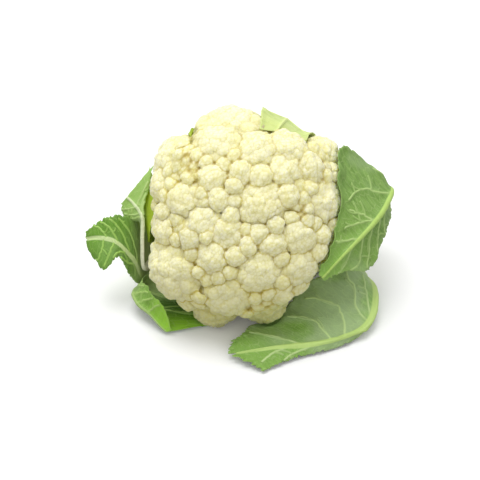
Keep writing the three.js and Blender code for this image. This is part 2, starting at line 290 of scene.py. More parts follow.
# %% The face florets
CURD = {"half_width": 79, "half_length": 86, "height": 62, "fullness": 2.4}
DOME = np.array([CURD["half_width"], CURD["half_length"], CURD["height"]])
FLAT = {"angle": math.radians(-44), "distance": 90, "sharpness": 8}
SWELL = 1.35
FLORETS = [
    # the spiral at the middle and the small ones packed about it
    (11.5, 6.5, 18), (30.5, 13.5, 7.5), (28.5, 31, 10.5), (11.5, 26.5, 7.5), (-4, 30.5, 7.5),
    (-8, 20, 5.5), (-19.5, 10.5, 7.5), (-10.5, -1, 5.5), (-13.5, -13.5, 10.5), (9.5, -15, 6),
    (2.5, -23, 6), (20, -22, 8.5), (21.5, -8.5, 5.5),
    # the ring about those
    (-24, 26, 9), (-43.5, 10, 12.5), (-30, -5.5, 11), (-28, -17, 4.5), (-40.5, -18.5, 7),
    (-24, -31.5, 11), (-7, -30.5, 6.5), (8.5, -41, 15), (38.5, -38, 13.5), (38.5, -17, 11),
    (55, 8.5, 16.5), (46.5, 34.5, 10.5), (31, 47.5, 12.5), (8.5, 44.5, 13.5), (-19.5, 50, 15),
    # the shoulders, down to the rim
    (-11, 60.5, 23), (60.5, 45, 14), (67, 30.5, 7), (66, -9, 7), (57, -16, 7), (54.5, -28, 6),
    (40, -54, 6.5), (27, -58, 8), (15.5, -69, 14.5), (-12.5, -57.5, 16.5), (-24, -72.5, 14.5),
    (-43.5, -65, 8), (-58, -10, 11), (-60.5, 1, 7), (-61.5, 22, 10.5), (-52.5, 41.5, 16),
    # the one at the lower left, which stands further out than the dome would put it
    (-51.5, -41.5, 21, 20),
]  # fmt: skip


def reach(x, y, inset):
    """How far out a place on the face is: 0 in the middle, 1 on the outline drawn in by inset."""
    power = CURD["fullness"]
    towards_flat = x * math.cos(FLAT["angle"]) + y * math.sin(FLAT["angle"])
    flat = np.maximum(0, towards_flat) / (FLAT["distance"] - inset)
    across = np.abs(x) / (CURD["half_width"] - inset)
    up = np.abs(y) / (CURD["half_length"] - inset)
    return across**power + up**power + flat ** FLAT["sharpness"]


def dome_depth(x, y, inset):
    return (CURD["height"] - inset) * max(0, 1 - reach(x, y, inset)) ** (1 / CURD["fullness"])


def dome_share(x, y, high):
    """How far out a place is, 1 on the dome itself, where high is its share of the dome's height."""
    return (reach(x, y, 0) + high ** CURD["fullness"]) ** (1 / CURD["fullness"])


def out_of_dome(point):
    return unit(np.sign(point) * np.abs(point / DOME) ** (CURD["fullness"] - 1) / DOME)


def face_florets():
    """Rows of centre x, y, z and radius."""
    balls = []
    for x, y, shown, *given in FLORETS:
        centre = np.array([x, y, given[0] if given else dome_depth(x, y, shown)])
        radius = shown * SWELL
        balls.append([*(centre + out_of_dome(centre) * (shown - radius)), radius])
    return np.array(balls)


def round_the_axis(number, offset=0.0):
    """The angles of this many places spread evenly round the stalk's axis."""
    return 2 * math.pi * (np.arange(number) + offset) / number


SKIRT = {"florets": 14, "radius": 14.5, "half_width": 57, "half_length": 58, "depth": -15}


def skirt_florets():
    """The row behind the rim, which only shows from the sides and the back."""
    turn = round_the_axis(SKIRT["florets"], 0.5)
    columns = [SKIRT["half_width"] * np.cos(turn), SKIRT["half_length"] * np.sin(turn)]
    columns += [np.full_like(turn, SKIRT["depth"]), np.full_like(turn, SKIRT["radius"])]
    return np.column_stack(columns)


face = face_florets()
skirt = skirt_florets()
kept_clear = np.vstack([face, skirt])  # what the leaves stay out of
print(f"curd: {len(face)} florets on the face and {len(skirt)} behind the rim")

# %% [markdown]
# ## The curd: late florets in the gaps
# Round florets leave hollows where three of them meet, and on a real head those hollows never stay
# empty: late florets push up into them and stay small. They are grown here the same way. From
# many places on the dome a probe goes straight in until it meets a floret. The deepest hollow
# gets a floret that fills most of it, and so on, until sixty have grown or no deep hollow is left.
# Places under a leaf, or where one would spoil the outline, are kept bare. Four more florets are
# listed low on the left flank, where no probe starts.

# %% Fill the hollows
GOLDEN_ANGLE = math.pi * (3 - math.sqrt(5))  # places that turn on by this are spread evenly
LATE = {
    "probes": 2600,
    "rim": 0.42,  # the lowest probe, as a share of the dome's height
    "step": 0.5,  # mm
    "reach": 20,  # mm
    "least_hollow": 5.3,  # mm
    "most": 60,
    "least_radius": 2.0,  # mm, before the hollow's depth adds its share
    "growth": 0.45,  # the share of the hollow's depth
    "size": (3.2, 6.5),  # mm: the radius stays between these
    "sunk": 0.3,  # the share of the hollow that stays empty over it
}
# x and y of the middle of each bare place, and its radius
KEPT_BARE = [(36, 70, 24), (-38, 66, 15), (-8, 70, 20), (13, 75, 9), (-39, -58, 8), (-74, 4, 13)]
# x, y, z and radius
FLANK = [(-59.5, -7, 11, 12), (-59.5, 8, 15, 11), (-57.5, -22, 3, 11.5), (-57, 24, 3, 11)]


def dome_probes():
    """Points spread evenly over the dome's envelope, and the ways out of it there."""
    number = np.arange(LATE["probes"]) + 0.5
    high = 1 - number / LATE["probes"] * (1 - LATE["rim"])
    turn = number * GOLDEN_ANGLE
    flat = np.sqrt(1 - high**2)
    away = np.column_stack([flat * np.cos(turn), flat * np.sin(turn), high])
    spots = away * DOME
    spots = spots / dome_share(spots[:, 0], spots[:, 1], high)[:, None]
    for x, y, radius in KEPT_BARE:
        spots = spots[np.hypot(spots[:, 0] - x, spots[:, 1] - y) > radius]
    return spots, out_of_dome(spots)


def late_florets(balls):
    spots, out = dome_probes()
    steps = np.arange(0, LATE["reach"], LATE["step"])
    lines = spots[:, None, :] - out[:, None, :] * steps[None, :, None]
    within = np.zeros(lines.shape[:2], bool)
    for x, y, z, radius in balls:
        within |= ((lines - [x, y, z]) ** 2).sum(2) < radius**2
    grown = []
    for _ in range(LATE["most"]):
        hollow = np.where(within.any(1), within.argmax(1), len(steps) - 1) * LATE["step"]
        deepest = hollow.argmax()
        if hollow[deepest] < LATE["least_hollow"]:
            break
        radius = LATE["growth"] * hollow[deepest] + LATE["least_radius"]
        radius = np.clip(radius, *LATE["size"])
        centre = spots[deepest] - out[deepest] * (hollow[deepest] * LATE["sunk"] + radius)
        grown.append([*centre, radius])
        within |= ((lines - centre) ** 2).sum(2) < radius**2
    return np.array(grown)


late = late_florets(face)
face = np.vstack([face, late, FLANK])
print(f"curd: {len(late)} late florets in the gaps and {len(FLANK)} on the flank")

# %% [markdown]
# ## The curd: lobes on every floret, and buds on every lobe
# A cauliflower repeats itself: a floret is a heap of lobes, and each lobe is a heap of buds, all
# set out by the rule of the seeds in a sunflower. Each one is turned by the golden angle from the
# last and sits a little further from the tip. At the tip, where the floret is still growing, the
# lobes melt into a smooth cap. Down its sides they stand apart and give the floret its knobs. One
# function covers a ball with smaller balls, so it is used twice: floret to lobes, lobe to buds.

# %% Lobes and buds by the golden angle
# step: mm between neighbours, and more by the ball's radius; bulge: a ball's radius as a share of
# the step, at the tip and at the side; scatter: how far it strays, as a share of the step; uneven:
# how much one stands over another, as a share of its size; farthest: radians from the tip
LOBES = {
    "step": (4.4, 0.24), "bulge": (0.95, 0.66), "scatter": 0.13, "uneven": 0.08, "farthest": 1.9,
}  # fmt: skip
CENTRE_LOBES = {**LOBES, "step": (5.6, 0.0)}
BUDS = {
    "step": (3.4, 0.0), "bulge": (0.60, 0.55), "scatter": 0.12, "uneven": 0.09, "farthest": 1.25,
}  # fmt: skip
CAP, CROWN = 0.15, 0.7  # radians from the tip where the smooth cap ends and the knobs stand apart
SIZES = {"vary": 0.15, "widest": 0.9, "lift_at_tip": 0.3}  # as shares of a ball's own size
CORE_INSET = {"floret": 3.5, "lobe": 0.9}  # mm from what a ball carries to the ball itself
CENTRE_FLORET = 0  # the youngest one, whose spirals show best
SKIRT_WAY = [1, 1, 2]  # stretches the way out of a floret behind the rim towards the stalk
NO_TIP = [0.31, 0.89, 0.33]  # no floret points this way, so it always has a way across it
POLAR_STEPS = 200
rng = np.random.default_rng(7)


def covered(ball, axis, rule):
    """Rows of centre x, y, z and radius of the balls that cover this one, and the ways out to them."""
    centre, radius = ball[:3], ball[3]
    polar = np.linspace(0, rule["farthest"], POLAR_STEPS)
    step = rule["step"][0] + rule["step"][1] * radius
    filled = np.cumsum(2 * math.pi * radius**2 * np.sin(polar) / step**2) * (polar[1] - polar[0])
    order = np.arange(max(1, int(filled[-1]))) + 0.5
    angle = np.interp(order, filled, polar)
    turn = order * GOLDEN_ANGLE + rng.uniform(0, 2 * math.pi)
    crown = np.clip((angle - CAP) / (CROWN - CAP), 0, 1)
    bulge = rule["bulge"][0] + (rule["bulge"][1] - rule["bulge"][0]) * crown
    size = step * bulge * (1 + rng.uniform(-SIZES["vary"], SIZES["vary"], len(order)) * crown)
    size = np.minimum(size, radius * SIZES["widest"])
    side = unit(np.cross(axis, NO_TIP))
    ring = np.outer(np.cos(turn), side) + np.outer(np.sin(turn), np.cross(axis, side))
    away = np.outer(np.cos(angle), axis) + ring * np.sin(angle)[:, None]
    away = unit(away + rng.normal(0, rule["scatter"], away.shape) * step / radius)
    room = SIZES["lift_at_tip"] + (1 - SIZES["lift_at_tip"]) * crown
    lift = rng.uniform(-1, 1, len(order)) * rule["uneven"] * size * room
    return np.column_stack([centre + away * (radius - size + lift)[:, None], size]), away


def buried(balls, others):
    """Which balls lie wholly inside one of the others."""
    gap = np.linalg.norm(balls[:, None, :3] - others[None, :, :3], axis=2)
    return (gap + balls[:, None, 3] < others[None, :, 3]).any(1)


def heap_of_buds(balls, first):
    """Cores and buds of these florets: rows of centre, radius, number of floret, number of lobe.

    The lobe's number is -1 for a core, which only fills the inside.
    """
    rows = []
    lobe_number = 0
    for number, ball in enumerate(balls):
        axis = out_of_dome(ball[:3]) if first == 0 else unit(ball[:3] * SKIRT_WAY)
        rule = CENTRE_LOBES if first + number == CENTRE_FLORET else LOBES
        others = np.delete(balls, number, axis=0)
        lobes, ways = covered(ball, axis, rule)
        seen = ~buried(lobes, others)
        rows.append([*ball[:3], ball[3] - CORE_INSET["floret"], first + number, -1])
        for lobe, way in zip(lobes[seen], ways[seen]):
            rows.append([*lobe[:3], lobe[3] - CORE_INSET["lobe"], first + number, -1])
            buds, _ = covered(lobe, way, BUDS)
            buds = buds[~buried(buds, others)]
            rows += [[*bud, first + number, lobe_number] for bud in buds]
            lobe_number += 1
    return np.array(rows)


face_buds = heap_of_buds(face, 0)
skirt_buds = heap_of_buds(skirt, len(face))
for place, heap in {"on the face": face_buds, "behind the rim": skirt_buds}.items():
    print(f"curd: {(heap[:, 5] >= 0).sum()} buds and {(heap[:, 5] < 0).sum()} cores {place}")

# %% [markdown]
# ## The curd: one skin round all the buds
# Twenty thousand overlapping balls aren't one curd yet. A boolean union would take minutes and
# leave razor-sharp seams. Here a node tree sets a ball on every bud, and a voxel remesh melts them
# into one closed skin, as dough balls join when they rise. That is done three times: for the upper
# and the lower half of the face, and for what is behind the rim, with the solid heart, the neck
# and the branches.

# %% Balls on points, and tubes along lines
crowd, tree, given = geometry_tree(
    "Crowded buds", {"Ball Detail": "NodeSocketInt", "Material": "NodeSocketMaterial"}
)
size = tree.attribute("size")
ball = {"Radius": 1.0, "Subdivisions": given["Ball Detail"]}
spots = {
    "Points": given["Geometry"],
    "Selection": size.maths("GREATER_THAN", 0.0),
    "Instance": tree.node("GeometryNodeMeshIcoSphere", {}, ball),
    "Scale": size,
}
balls = tree.node("GeometryNodeInstanceOnPoints", {}, spots)
both = tree.node("GeometryNodeJoinGeometry", {}, {"Geometry": balls})
tree.feed(both.socket.node.inputs["Geometry"], given["Geometry"])
end_tree(tree, both, given["Material"])

stems, tree, given = geometry_tree(
    "Tapered tubes", {"Sides": "NodeSocketInt", "Material": "NodeSocketMaterial"}
)
lines = tree.node("GeometryNodeMeshToCurve", {}, {"Mesh": given["Geometry"]})
thick = {"Curve": lines, "Radius": tree.attribute("thickness")}
lines = tree.node("GeometryNodeSetCurveRadius", {}, thick)
ring = {"Resolution": given["Sides"], "Radius": 1.0}
section = tree.node("GeometryNodeCurvePrimitiveCircle", {}, ring)
swept = {"Curve": lines, "Profile Curve": section, "Fill Caps": True}
end_tree(tree, tree.node("GeometryNodeCurveToMesh", {}, swept), given["Material"])


def tubes_along(name, sides, points, edges, **measures):
    """Points and faces of tubes along these lines, and the measures that they keep."""
    made = mesh_object(name, points, edges=edges, **measures)
    use_tree(made, stems, sides=sides)
    mesh = evaluated(made).data
    kept = {}
    for key in measures:
        if key != "thickness":
            kept[key] = np.empty(len(mesh.vertices), np.float32)
            mesh.attributes[key].data.foreach_get("value", kept[key])
    found = points_of(mesh), [list(face.vertices) for face in mesh.polygons], kept
    bpy.data.objects.remove(made)
    return found


# %% [markdown]
# The heart is the dome itself, drawn in so that it stays under the florets, most of all at the
# top, and the neck is a cone from there to the stalk. Fourteen branches fan out from the top of
# the stalk to the florets behind the rim.

# %% The heart, the neck and the branches
HEART = {"inset": 11, "underside": 14, "top": 0.8, "turns": 48, "rings": 24, "probe": 100}
NECK = {"rim_radius": 44, "foot": -45.6, "foot_radius": 21}
BRANCH = {
    "root": 6.5, "tip": 9.5, "start": -38, "spread": 14, "points": 12, "bow": 3.5, "sides": 20,
}  # fmt: skip


def shell_of_rings(rings, turns):
    """Faces of a closed shell of rings of points between a first and a last single point."""
    faces = []
    last = 1 + rings * turns
    for i in range(turns):
        j = (i + 1) % turns
        faces.append((0, 1 + i, 1 + j))
        for k in range(rings - 1):
            low, high = 1 + k * turns, 1 + (k + 1) * turns
            faces.append((low + i, high + i, high + j, low + j))
        faces.append((last - turns + j, last - turns + i, last))
    return faces


def heart():
    """Points and faces of the dome drawn in, closed below by a shallow bowl."""
    out = np.linspace(0, HEART["probe"], 4 * HEART["probe"])
    points = [[0, 0, CURD["height"] - HEART["inset"]]]
    for polar in np.linspace(0, math.pi, HEART["rings"] + 2)[1:-1]:
        for turn in round_the_axis(HEART["turns"]):
            outness = reach(out * math.cos(turn), out * math.sin(turn), HEART["inset"])
            radius = np.interp(math.sin(polar) ** CURD["fullness"], outness, out)
            x, y = radius * math.cos(turn), radius * math.sin(turn)
            rise = CURD["height"] - HEART["inset"] if polar < math.pi / 2 else HEART["underside"]
            points.append([x, y * (HEART["top"] if y > 0 else 1), math.cos(polar) * rise])
    points.append([0, 0, -HEART["underside"]])
    return np.array(points), shell_of_rings(HEART["rings"], HEART["turns"])


def rings_round(turn, rings):
    """Points of rings round the stalk's axis, each given by its radii and its height."""
    rows = [[radius * np.cos(turn), radius * np.sin(turn), 0 * turn + z] for radius, z in rings]
    return [point for row in rows for point in np.transpose(row)]


def neck():
    """Points and faces of the cone from the heart to the stalk."""
    rings = [(NECK["rim_radius"], 0), (NECK["foot_radius"], NECK["foot"])]
    points = [[0, 0, 0], *rings_round(round_the_axis(HEART["turns"]), rings), [0, 0, NECK["foot"]]]
    return np.array(points), shell_of_rings(len(rings), HEART["turns"])


def branches():
    """Points and faces of tubes from the stalk to each floret of the skirt."""
    points, edges, thickness = [], [], []
    for floret in skirt:
        turn = math.atan2(floret[1], floret[0])
        outward = np.array([math.cos(turn), math.sin(turn), 0])
        start = outward * BRANCH["spread"] + [0, 0, BRANCH["start"]]
        for i, t in enumerate(np.linspace(0, 1, BRANCH["points"])):
            bow = math.sin(math.pi * t) * BRANCH["bow"]
            if i:
                edges.append((len(points) - 1, len(points)))
            points.append(start + (floret[:3] - start) * t + outward * bow)
            thickness.append(BRANCH["root"] + (BRANCH["tip"] - BRANCH["root"]) * t**2)
    return tubes_along("branches", BRANCH["sides"], points, edges, thickness=thickness)[:2]


def melted(name, buds, solids, voxel):
    """One closed skin, in millimetres, round these buds and solids."""
    points, faces = [buds[:, :3]], []
    for more, their_faces in solids:
        start = sum(map(len, points))
        points.append(more)
        faces += [[start + i for i in face] for face in their_faces]
    size = np.zeros(sum(map(len, points)))
    size[: len(buds)] = buds[:, 3]
    made = mesh_object(name, np.vstack(points), faces, size=size)
    use_tree(made, crowd, ball_detail=BALL_DETAIL)
    remesh = made.modifiers.new("melt", "REMESH")
    remesh.mode, remesh.voxel_size = "VOXEL", voxel
    return evaluated(made)


BALL_DETAIL = 2  # few faces will do, since the skin is fitted to true balls afterwards
FACE_VOXEL, BACK_VOXEL = ((0.87, 1.3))  # mm
is_upper = face[face_buds[:, 4].astype(int), 1] > 0
upper_buds, lower_buds = face_buds[is_upper], face_buds[~is_upper]
inner_solids = [heart(), neck(), branches()]
curd_upper = melted("curd_upper", upper_buds, [], FACE_VOXEL)
curd_lower = melted("curd_lower", lower_buds, [], FACE_VOXEL)
curd_back = melted("curd_branches", skirt_buds, inner_solids, BACK_VOXEL)
curd_pieces = (curd_upper, curd_lower, curd_back)
print("curd skins, faces:", {thing.name: len(thing.data.polygons) for thing in curd_pieces})

# %% [markdown]
# ## The curd: smooth buds and true creases
# Voxels leave their own small steps in the creases. So each point is now slid along the shortest
# way to the exact surface of the balls near it. Where two balls meet, their distances are blended
# over a fraction of a millimetre, which rounds the crease as flesh does.

# %% Fit the skin to the buds
ROUNDING = 0.25  # mm over which two buds blend
CELL, MARGIN = 10.0, 3.0  # mm: the side of a block of points, and how near a bud counts there
FIT_ROUNDS = 3
FIT_REACH = 2.5  # mm: a point farther than this from every bud belongs to the heart, and stays
LEAST_SLOPE = 0.2  # keeps a point between two buds from leaping


def blocks(points, buds):
    """The points by small cubes of space, each with only the buds near it, sorted by lobe."""
    buds = buds[np.argsort(buds[:, 5], kind="stable")]
    cubes = np.floor(points / CELL).astype(int)
    _, cube = np.unique(cubes, axis=0, return_inverse=True)
    order = np.argsort(cube.ravel(), kind="stable")
    for part in np.split(order, np.cumsum(np.bincount(cube.ravel()))[:-1]):
        low, high = points[part].min(0) - MARGIN, points[part].max(0) + MARGIN
        centre, radius = buds[:, :3], buds[:, 3]
        gap = np.maximum(np.maximum(low - centre, centre - high), 0)
        near = (gap**2).sum(1) < radius**2
        if near.any():
            yield part, buds[near]


def distances(points, buds):
    away = points[:, None, :] - buds[None, :, :3]
    length = np.maximum(np.linalg.norm(away, axis=2), TINY)
    return length - buds[:, 3], away / length[..., None]


def fit(points, buds):
    for _ in range(FIT_ROUNDS):
        for part, near in blocks(points, buds):
            distance, away = distances(points[part], near)
            least = distance.min(1, keepdims=True)
            weight = np.exp((least - distance) / ROUNDING)
            total = weight.sum(1, keepdims=True)
            surface = least - ROUNDING * np.log(total)
            slope = (weight[..., None] * away).sum(1) / total
            steep = np.maximum((slope**2).sum(1, keepdims=True), LEAST_SLOPE)
            move = np.clip(surface, -FACE_VOXEL, FACE_VOXEL) * (np.abs(surface) < FIT_REACH)
            points[part] -= move * slope / steep
    return points


# %% [markdown]
# The same distances tell how near a point is to the next bud, lobe and floret, and the finish
# reads that later to paint shade into the creases. It also reads how far a point lies under the
# dome, so that deeper hollows are painted darker.

# %% Measure the creases
FAR = 12.0  # mm: a gap wider than this counts as none
NEVER = 1e3  # mm: stands for a bud or lobe that doesn't count
LEAST_SHARE = 0.2  # of the way out to the dome: nothing nearer to the middle is measured


def two_least(values):
    """How much more the second least value of each row is than the least one."""
    if values.shape[1] < 2:
        return np.full(len(values), FAR)
    least = np.partition(values, 1, axis=1)
    return least[:, 1] - least[:, 0]


def creases(points, buds):
    """The gap in mm from each point to the next bud, lobe and floret, and to the floret after that."""
    gaps = np.full((len(points), 4), FAR)
    for part, near in blocks(points, buds[buds[:, 5] >= 0]):
        distance, _ = distances(points[part], near)
        lobes, starts = np.unique(near[:, 5], return_index=True)
        by_lobe = np.minimum.reduceat(distance, starts, axis=1)
        floret_of = near[starts, 4]
        _, starts = np.unique(floret_of, return_index=True)
        by_floret = np.minimum.reduceat(by_lobe, starts, axis=1)
        own = by_lobe.argmin(1)
        own_buds = near[None, :, 5] == lobes[own][:, None]
        own_lobes = floret_of[None, :] == floret_of[own][:, None]
        gaps[part, 0] = two_least(np.where(own_buds, distance, NEVER))
        gaps[part, 1] = two_least(np.where(own_lobes, by_lobe, NEVER))
        gaps[part, 2] = two_least(by_floret)
        if by_floret.shape[1] > 2:
            ranked = np.partition(by_floret, 2, axis=1)
            gaps[part, 3] = ranked[:, 2] - ranked[:, 0]
    return np.minimum(gaps, FAR)


def depth_under_dome(points):
    """How far under the dome's envelope each point lies, in mm."""
    share = dome_share(points[:, 0], points[:, 1], np.maximum(points[:, 2], 0) / CURD["height"])
    return np.linalg.norm(points, axis=1) * (1 / np.maximum(share, LEAST_SHARE) - 1)


# %% [markdown]
# No real floret is a true ball. Nine slow waves, each with its own direction, shift the skin by
# about a millimetre, and the deepest hollows are filled a little, as the flesh in them swells.

# %% Uneven growth
GROWTH = {
    "waves": 9, "pace": (0.8, 2.2), "phase": 6.3, "seed": 19,
    "shift": 0.75, "wave": 13.0,  # mm
    "filled": 0.34, "proud": 1.5, "rim": 25,  # the share of a hollow, and mm
}  # fmt: skip


def uneven_growth(points, depth):
    """Shifts the skin by slow waves, so that no floret stays a true ball, and fills its hollows."""
    drift = np.zeros_like(points)
    draw = np.random.default_rng(GROWTH["seed"])
    for _ in range(GROWTH["waves"]):
        heading = unit(draw.normal(size=3))
        pace = 2 * math.pi / (GROWTH["wave"] * draw.uniform(*GROWTH["pace"]))
        wave = np.sin(points @ heading * pace + draw.uniform(0, GROWTH["phase"]))
        drift += np.outer(wave, unit(draw.normal(size=3)))
    near_rim = np.clip(points[:, 2] / GROWTH["rim"], 0, 1)
    fill = GROWTH["filled"] * np.maximum(depth - GROWTH["proud"], 0) * near_rim
    return points + drift * GROWTH["shift"] / 2 + out_of_dome(points) * fill[:, None]


def refine(thing, buds, all_buds):
    points = fit(points_of(thing.data), buds)
    gaps = creases(points, all_buds)
    depth = depth_under_dome(points)
    points = uneven_growth(points, depth)
    thing.data.vertices.foreach_set("co", points.astype(np.float32).ravel())
    names = ("bud_gap", "lobe_gap", "floret_gap", "pit_gap")
    store(thing.data, {"depth": depth, **dict(zip(names, gaps.T))})
    print(f"{thing.name}: {depth.mean():.1f} mm under the dome on average")


refine(curd_upper, upper_buds, face_buds)
refine(curd_lower, lower_buds, face_buds)
refine(curd_back, skirt_buds, skirt_buds)

# %% [markdown]
# ## The curd: the finest grain
# Close up, each bud is a crowd of beads about 2 mm across. They are too small for a ball each. A
# Voronoi pattern packs cells in the same crowded way, so a second node tree lifts the skin at the
# middle of each cell and leaves it low between them, except in the creases between florets.

# %% Beads on the skin
inputs = {"Bead Size": "NodeSocketFloat", "Bead Height": "NodeSocketFloat"}
beads, tree, given = geometry_tree("Beads", {**inputs, "Material": "NodeSocketMaterial"})
BEAD = {"size": 2.0, "height": 0.25, "crowding": 0.8, "middle": 0.4}  # the first two in mm
OUT_OF_CREASE = (0.2, 2.0)  # mm from the next floret, over which beads rise
cells = {"Scale": 1 / given["Bead Size"], "Randomness": BEAD["crowding"]}
from_middle = tree.node("ShaderNodeTexVoronoi", {"voronoi_dimensions": "3D"}, cells)
rise = given["Bead Height"] * tree.attribute("floret_gap").step(*OUT_OF_CREASE)
lift = (BEAD["middle"] - from_middle * from_middle) * rise
outwards = {"Vector": tree.node("GeometryNodeInputNormal"), "Scale": lift}
offset = tree.node("ShaderNodeVectorMath", {"operation": "SCALE"}, outwards)
lifted = {"Geometry": given["Geometry"], "Offset": offset}
kept = {"Name": "bead", "Value": from_middle}
kept["Geometry"] = tree.node("GeometryNodeSetPosition", {}, lifted)
kept = tree.node("GeometryNodeStoreNamedAttribute", {"data_type": "FLOAT"}, kept)
end_tree(tree, kept, given["Material"])

for thing in curd_pieces:
    use_tree(thing, beads, bead_size=BEAD["size"], bead_height=BEAD["height"])
    evaluated(thing)
    lay_down(thing)
print("curd with beads:", sum(len(thing.data.polygons) for thing in curd_pieces), "faces")

# %% [markdown]
# ## Leaves: a sheet between three rails
# A leaf is a thin sheet on a stiff midrib. Its two margins and its rib are three smooth lines from
# the stalk to the tip, and they say everything about how it bends and folds. The sheet is spanned
# between them, bellied a little, and pushed out wherever it would cut into a floret or the table.
# The rails began as those of the CAD leaves. Tips and margins of some now reach past those solids,
# by a few millimetres on most leaves and by up to three centimetres on the small inner ones.
# Every point is in the head's frame. Heights and widths of a rib are at its foot and at its tip.

# %% The rails of every leaf
LEAVES = {
    # comes out behind the right side and folds forward over it, its underside outwards
    "leaf_right": {
        "left": [
            (17, 7, -68), (54, 22, -60), (88, 38, -40), (99, 36, -10), (74, 53, 9),
            (68.5, 27, 27), (69, 1, 35), (62, -23, 37), (52.5, -43, 35),
        ],
        "rib": [
            (17, 1, -71), (54, 8, -66), (98, 17, -44), (113, 20, -12), (106.5, 5, 8),
            (96, -8, 18), (83, -21, 26), (70, -34, 31), (57, -48, 33),
        ],
        "right": [
            (17, -5, -68), (58, -5, -62), (96, 0, -46), (114, 5, -26), (111, -8, -8),
            (105, -22, 2), (95, -42, 10), (76, -43, 22), (59, -50, 31),
        ],
        "rib_height": (6, 0.8), "rib_width": (8.5, 0.8), "cup": 3,
    },
    # comes out low behind the right side, turns up there, then lies forward along the table
    "leaf_front": {
        "left": [
            (15, -8, -66), (50, -22, -54), (76, -24, -36), (80, -34, -16), (66, -44, -8),
            (46, -54, -12), (31, -72, -13), (5, -85, -1), (-2, -91, 11), (-12, -97, 17),
        ],
        "rib": [
            (13, -11, -70), (50, -30, -62), (84, -46, -46), (100, -55, -26), (100.5, -72, -8),
            (92, -87, 5), (69, -96, 13), (42, -99, 19), (15, -101, 23), (-13, -106, 24),
        ],
        "right": [
            (9, -14, -68), (46, -36, -58), (78, -55, -42), (95, -66, -27), (97, -80, -10),
            (82, -96, 7), (60, -103.5, 16), (42, -107.5, 21), (27, -112, 27), (13, -118, 33),
        ],
        "rib_height": (6.5, 1.0), "rib_width": (7, 2.2), "cup": -2,
    },
    # bends away to the left, its upper face outwards
    "leaf_left": {
        "left": [
            (-16, 0, -69), (-54, -6, -63), (-74, -10, -44), (-80, -4, -22), (-90, 0, -5),
            (-103, 0, 1), (-115, -5.5, -2), (-123.5, -13, -8),
        ],
        "rib": [
            (-15, -6, -71), (-51, -16, -67), (-74, -34, -50), (-81, -47, -27), (-86, -35, -9),
            (-99, -21, 2), (-112, -17.5, -1), (-124, -18.5, -9),
        ],
        "right": [
            (-12, -11, -69), (-47, -25, -65), (-72, -45, -49), (-83, -54, -29), (-90, -46, -9),
            (-97, -33, 3), (-109.5, -42.5, 1), (-122.5, -27, -8),
        ],
        "rib_height": (7, 1.2), "rib_width": (7, 2), "cup": -1,
    },
    # cradles the curd's lower left side, and its tip lies on the table
    "leaf_lower_left": {
        "left": [
            (-11, -12, -62), (-40, -30, -52), (-68, -42, -34), (-79, -49, -13), (-74, -56, -3),
            (-69, -63, 3), (-61, -71, 7), (-56, -88, 3),
        ],
        "rib": [
            (-9, -15, -66), (-36, -38, -55), (-68, -52, -38), (-85, -59, -20), (-83, -68, -9),
            (-73, -76, -3), (-66, -84, 0), (-60, -90, 1),
        ],
        "right": [
            (-5, -17, -62), (-26, -40, -50), (-40, -58, -36), (-38, -64, -28), (-25, -71, -21),
            (-16, -78, -14), (-28, -84, -7), (-46, -87, -1),
        ],
        "rib_height": (7, 1), "rib_width": (7, 2), "cup": 1,
    },
    # stands up between the curd and the leaf on the left, on a broad white stem
    "leaf_upper_left": {
        "left": [
            (-14, 2, -58), (-50, -12, -54), (-72, -30, -40), (-80, -38, -18), (-80.5, -22, -7),
            (-81, -6, -5), (-88, -4, -8), (-95.5, 2, -10), (-95.5, 9, -10),
        ],
        "rib": [
            (-15, -1.3, -60), (-48, -16, -56), (-71, -34, -40), (-78.5, -41, -16), (-79, -22, -4),
            (-78.5, -4, 0), (-81, 3, -2), (-86, 9, -5), (-91.5, 14, -8),
        ],
        "right": [
            (-14, -4, -58), (-46, -20, -54), (-70, -38, -38), (-77, -42, -14), (-77.5, -22, -3),
            (-77, -3, 0), (-77.5, 8, -2), (-74, 22, -5), (-70.5, 39, -9),
        ],
        "rib_height": (2.5, 0.8), "rib_width": (3.2, 1.6), "cup": 1,
    },
    # a pale young leaf that curls over the rim at the top
    "inner_leaf_top": {
        "left": [
            (4, 17, -50), (6, 48, -40), (11, 73, -22), (13, 81, -6), (13, 82, 8), (11.5, 76, 24),
            (10.5, 63, 36),
        ],
        "rib": [
            (7, 16, -50), (18, 45, -40), (28, 67, -26), (33, 73, -9), (31, 72.5, 5), (28, 69, 17),
            (23, 62, 27),
        ],
        "right": [
            (10, 14, -50), (28, 38, -40), (44, 56, -28), (55, 60, -12), (53, 59, 0), (50, 57, 8),
            (46, 55, 14),
        ],
        "rib_height": (2, 0.1), "rib_width": (5, 1.2), "cup": 1,
    },
    # a scrap of the same kind on the other side of the topmost floret
    "inner_leaf_crown": {
        "left": [(-12, 14, -52), (-26, 40, -42), (-36, 57, -24), (-38, 57, -4), (-36, 52, 20)],
        "rib": [(-9, 15, -52), (-21, 42, -42), (-33, 61, -24), (-35, 61, -4), (-33, 55, 23)],
        "right": [(-6, 17, -52), (-15, 44, -42), (-28, 64, -24), (-31, 64, -4), (-29, 59, 24)],
        "rib_height": (3, 0.6), "rib_width": (5, 2), "cup": 1,
    },
    # and one between the white stem and the curd
    "inner_leaf_left": {
        "left": [(-18, 4, -50), (-46, 4, -42), (-70, 2, -28), (-82, 8, -16), (-74, 38, -13)],
        "rib": [(-18, 0, -50), (-46, -2, -42), (-70, -8, -26), (-79, 0, -9), (-71, 30, -9)],
        "right": [(-18, -4, -50), (-46, -8, -42), (-70, -20, -24), (-73, -18, 0), (-67, 14, 5)],
        "rib_height": (2, 0.4), "rib_width": (4, 1.2), "cup": 1,
    },
}  # fmt: skip


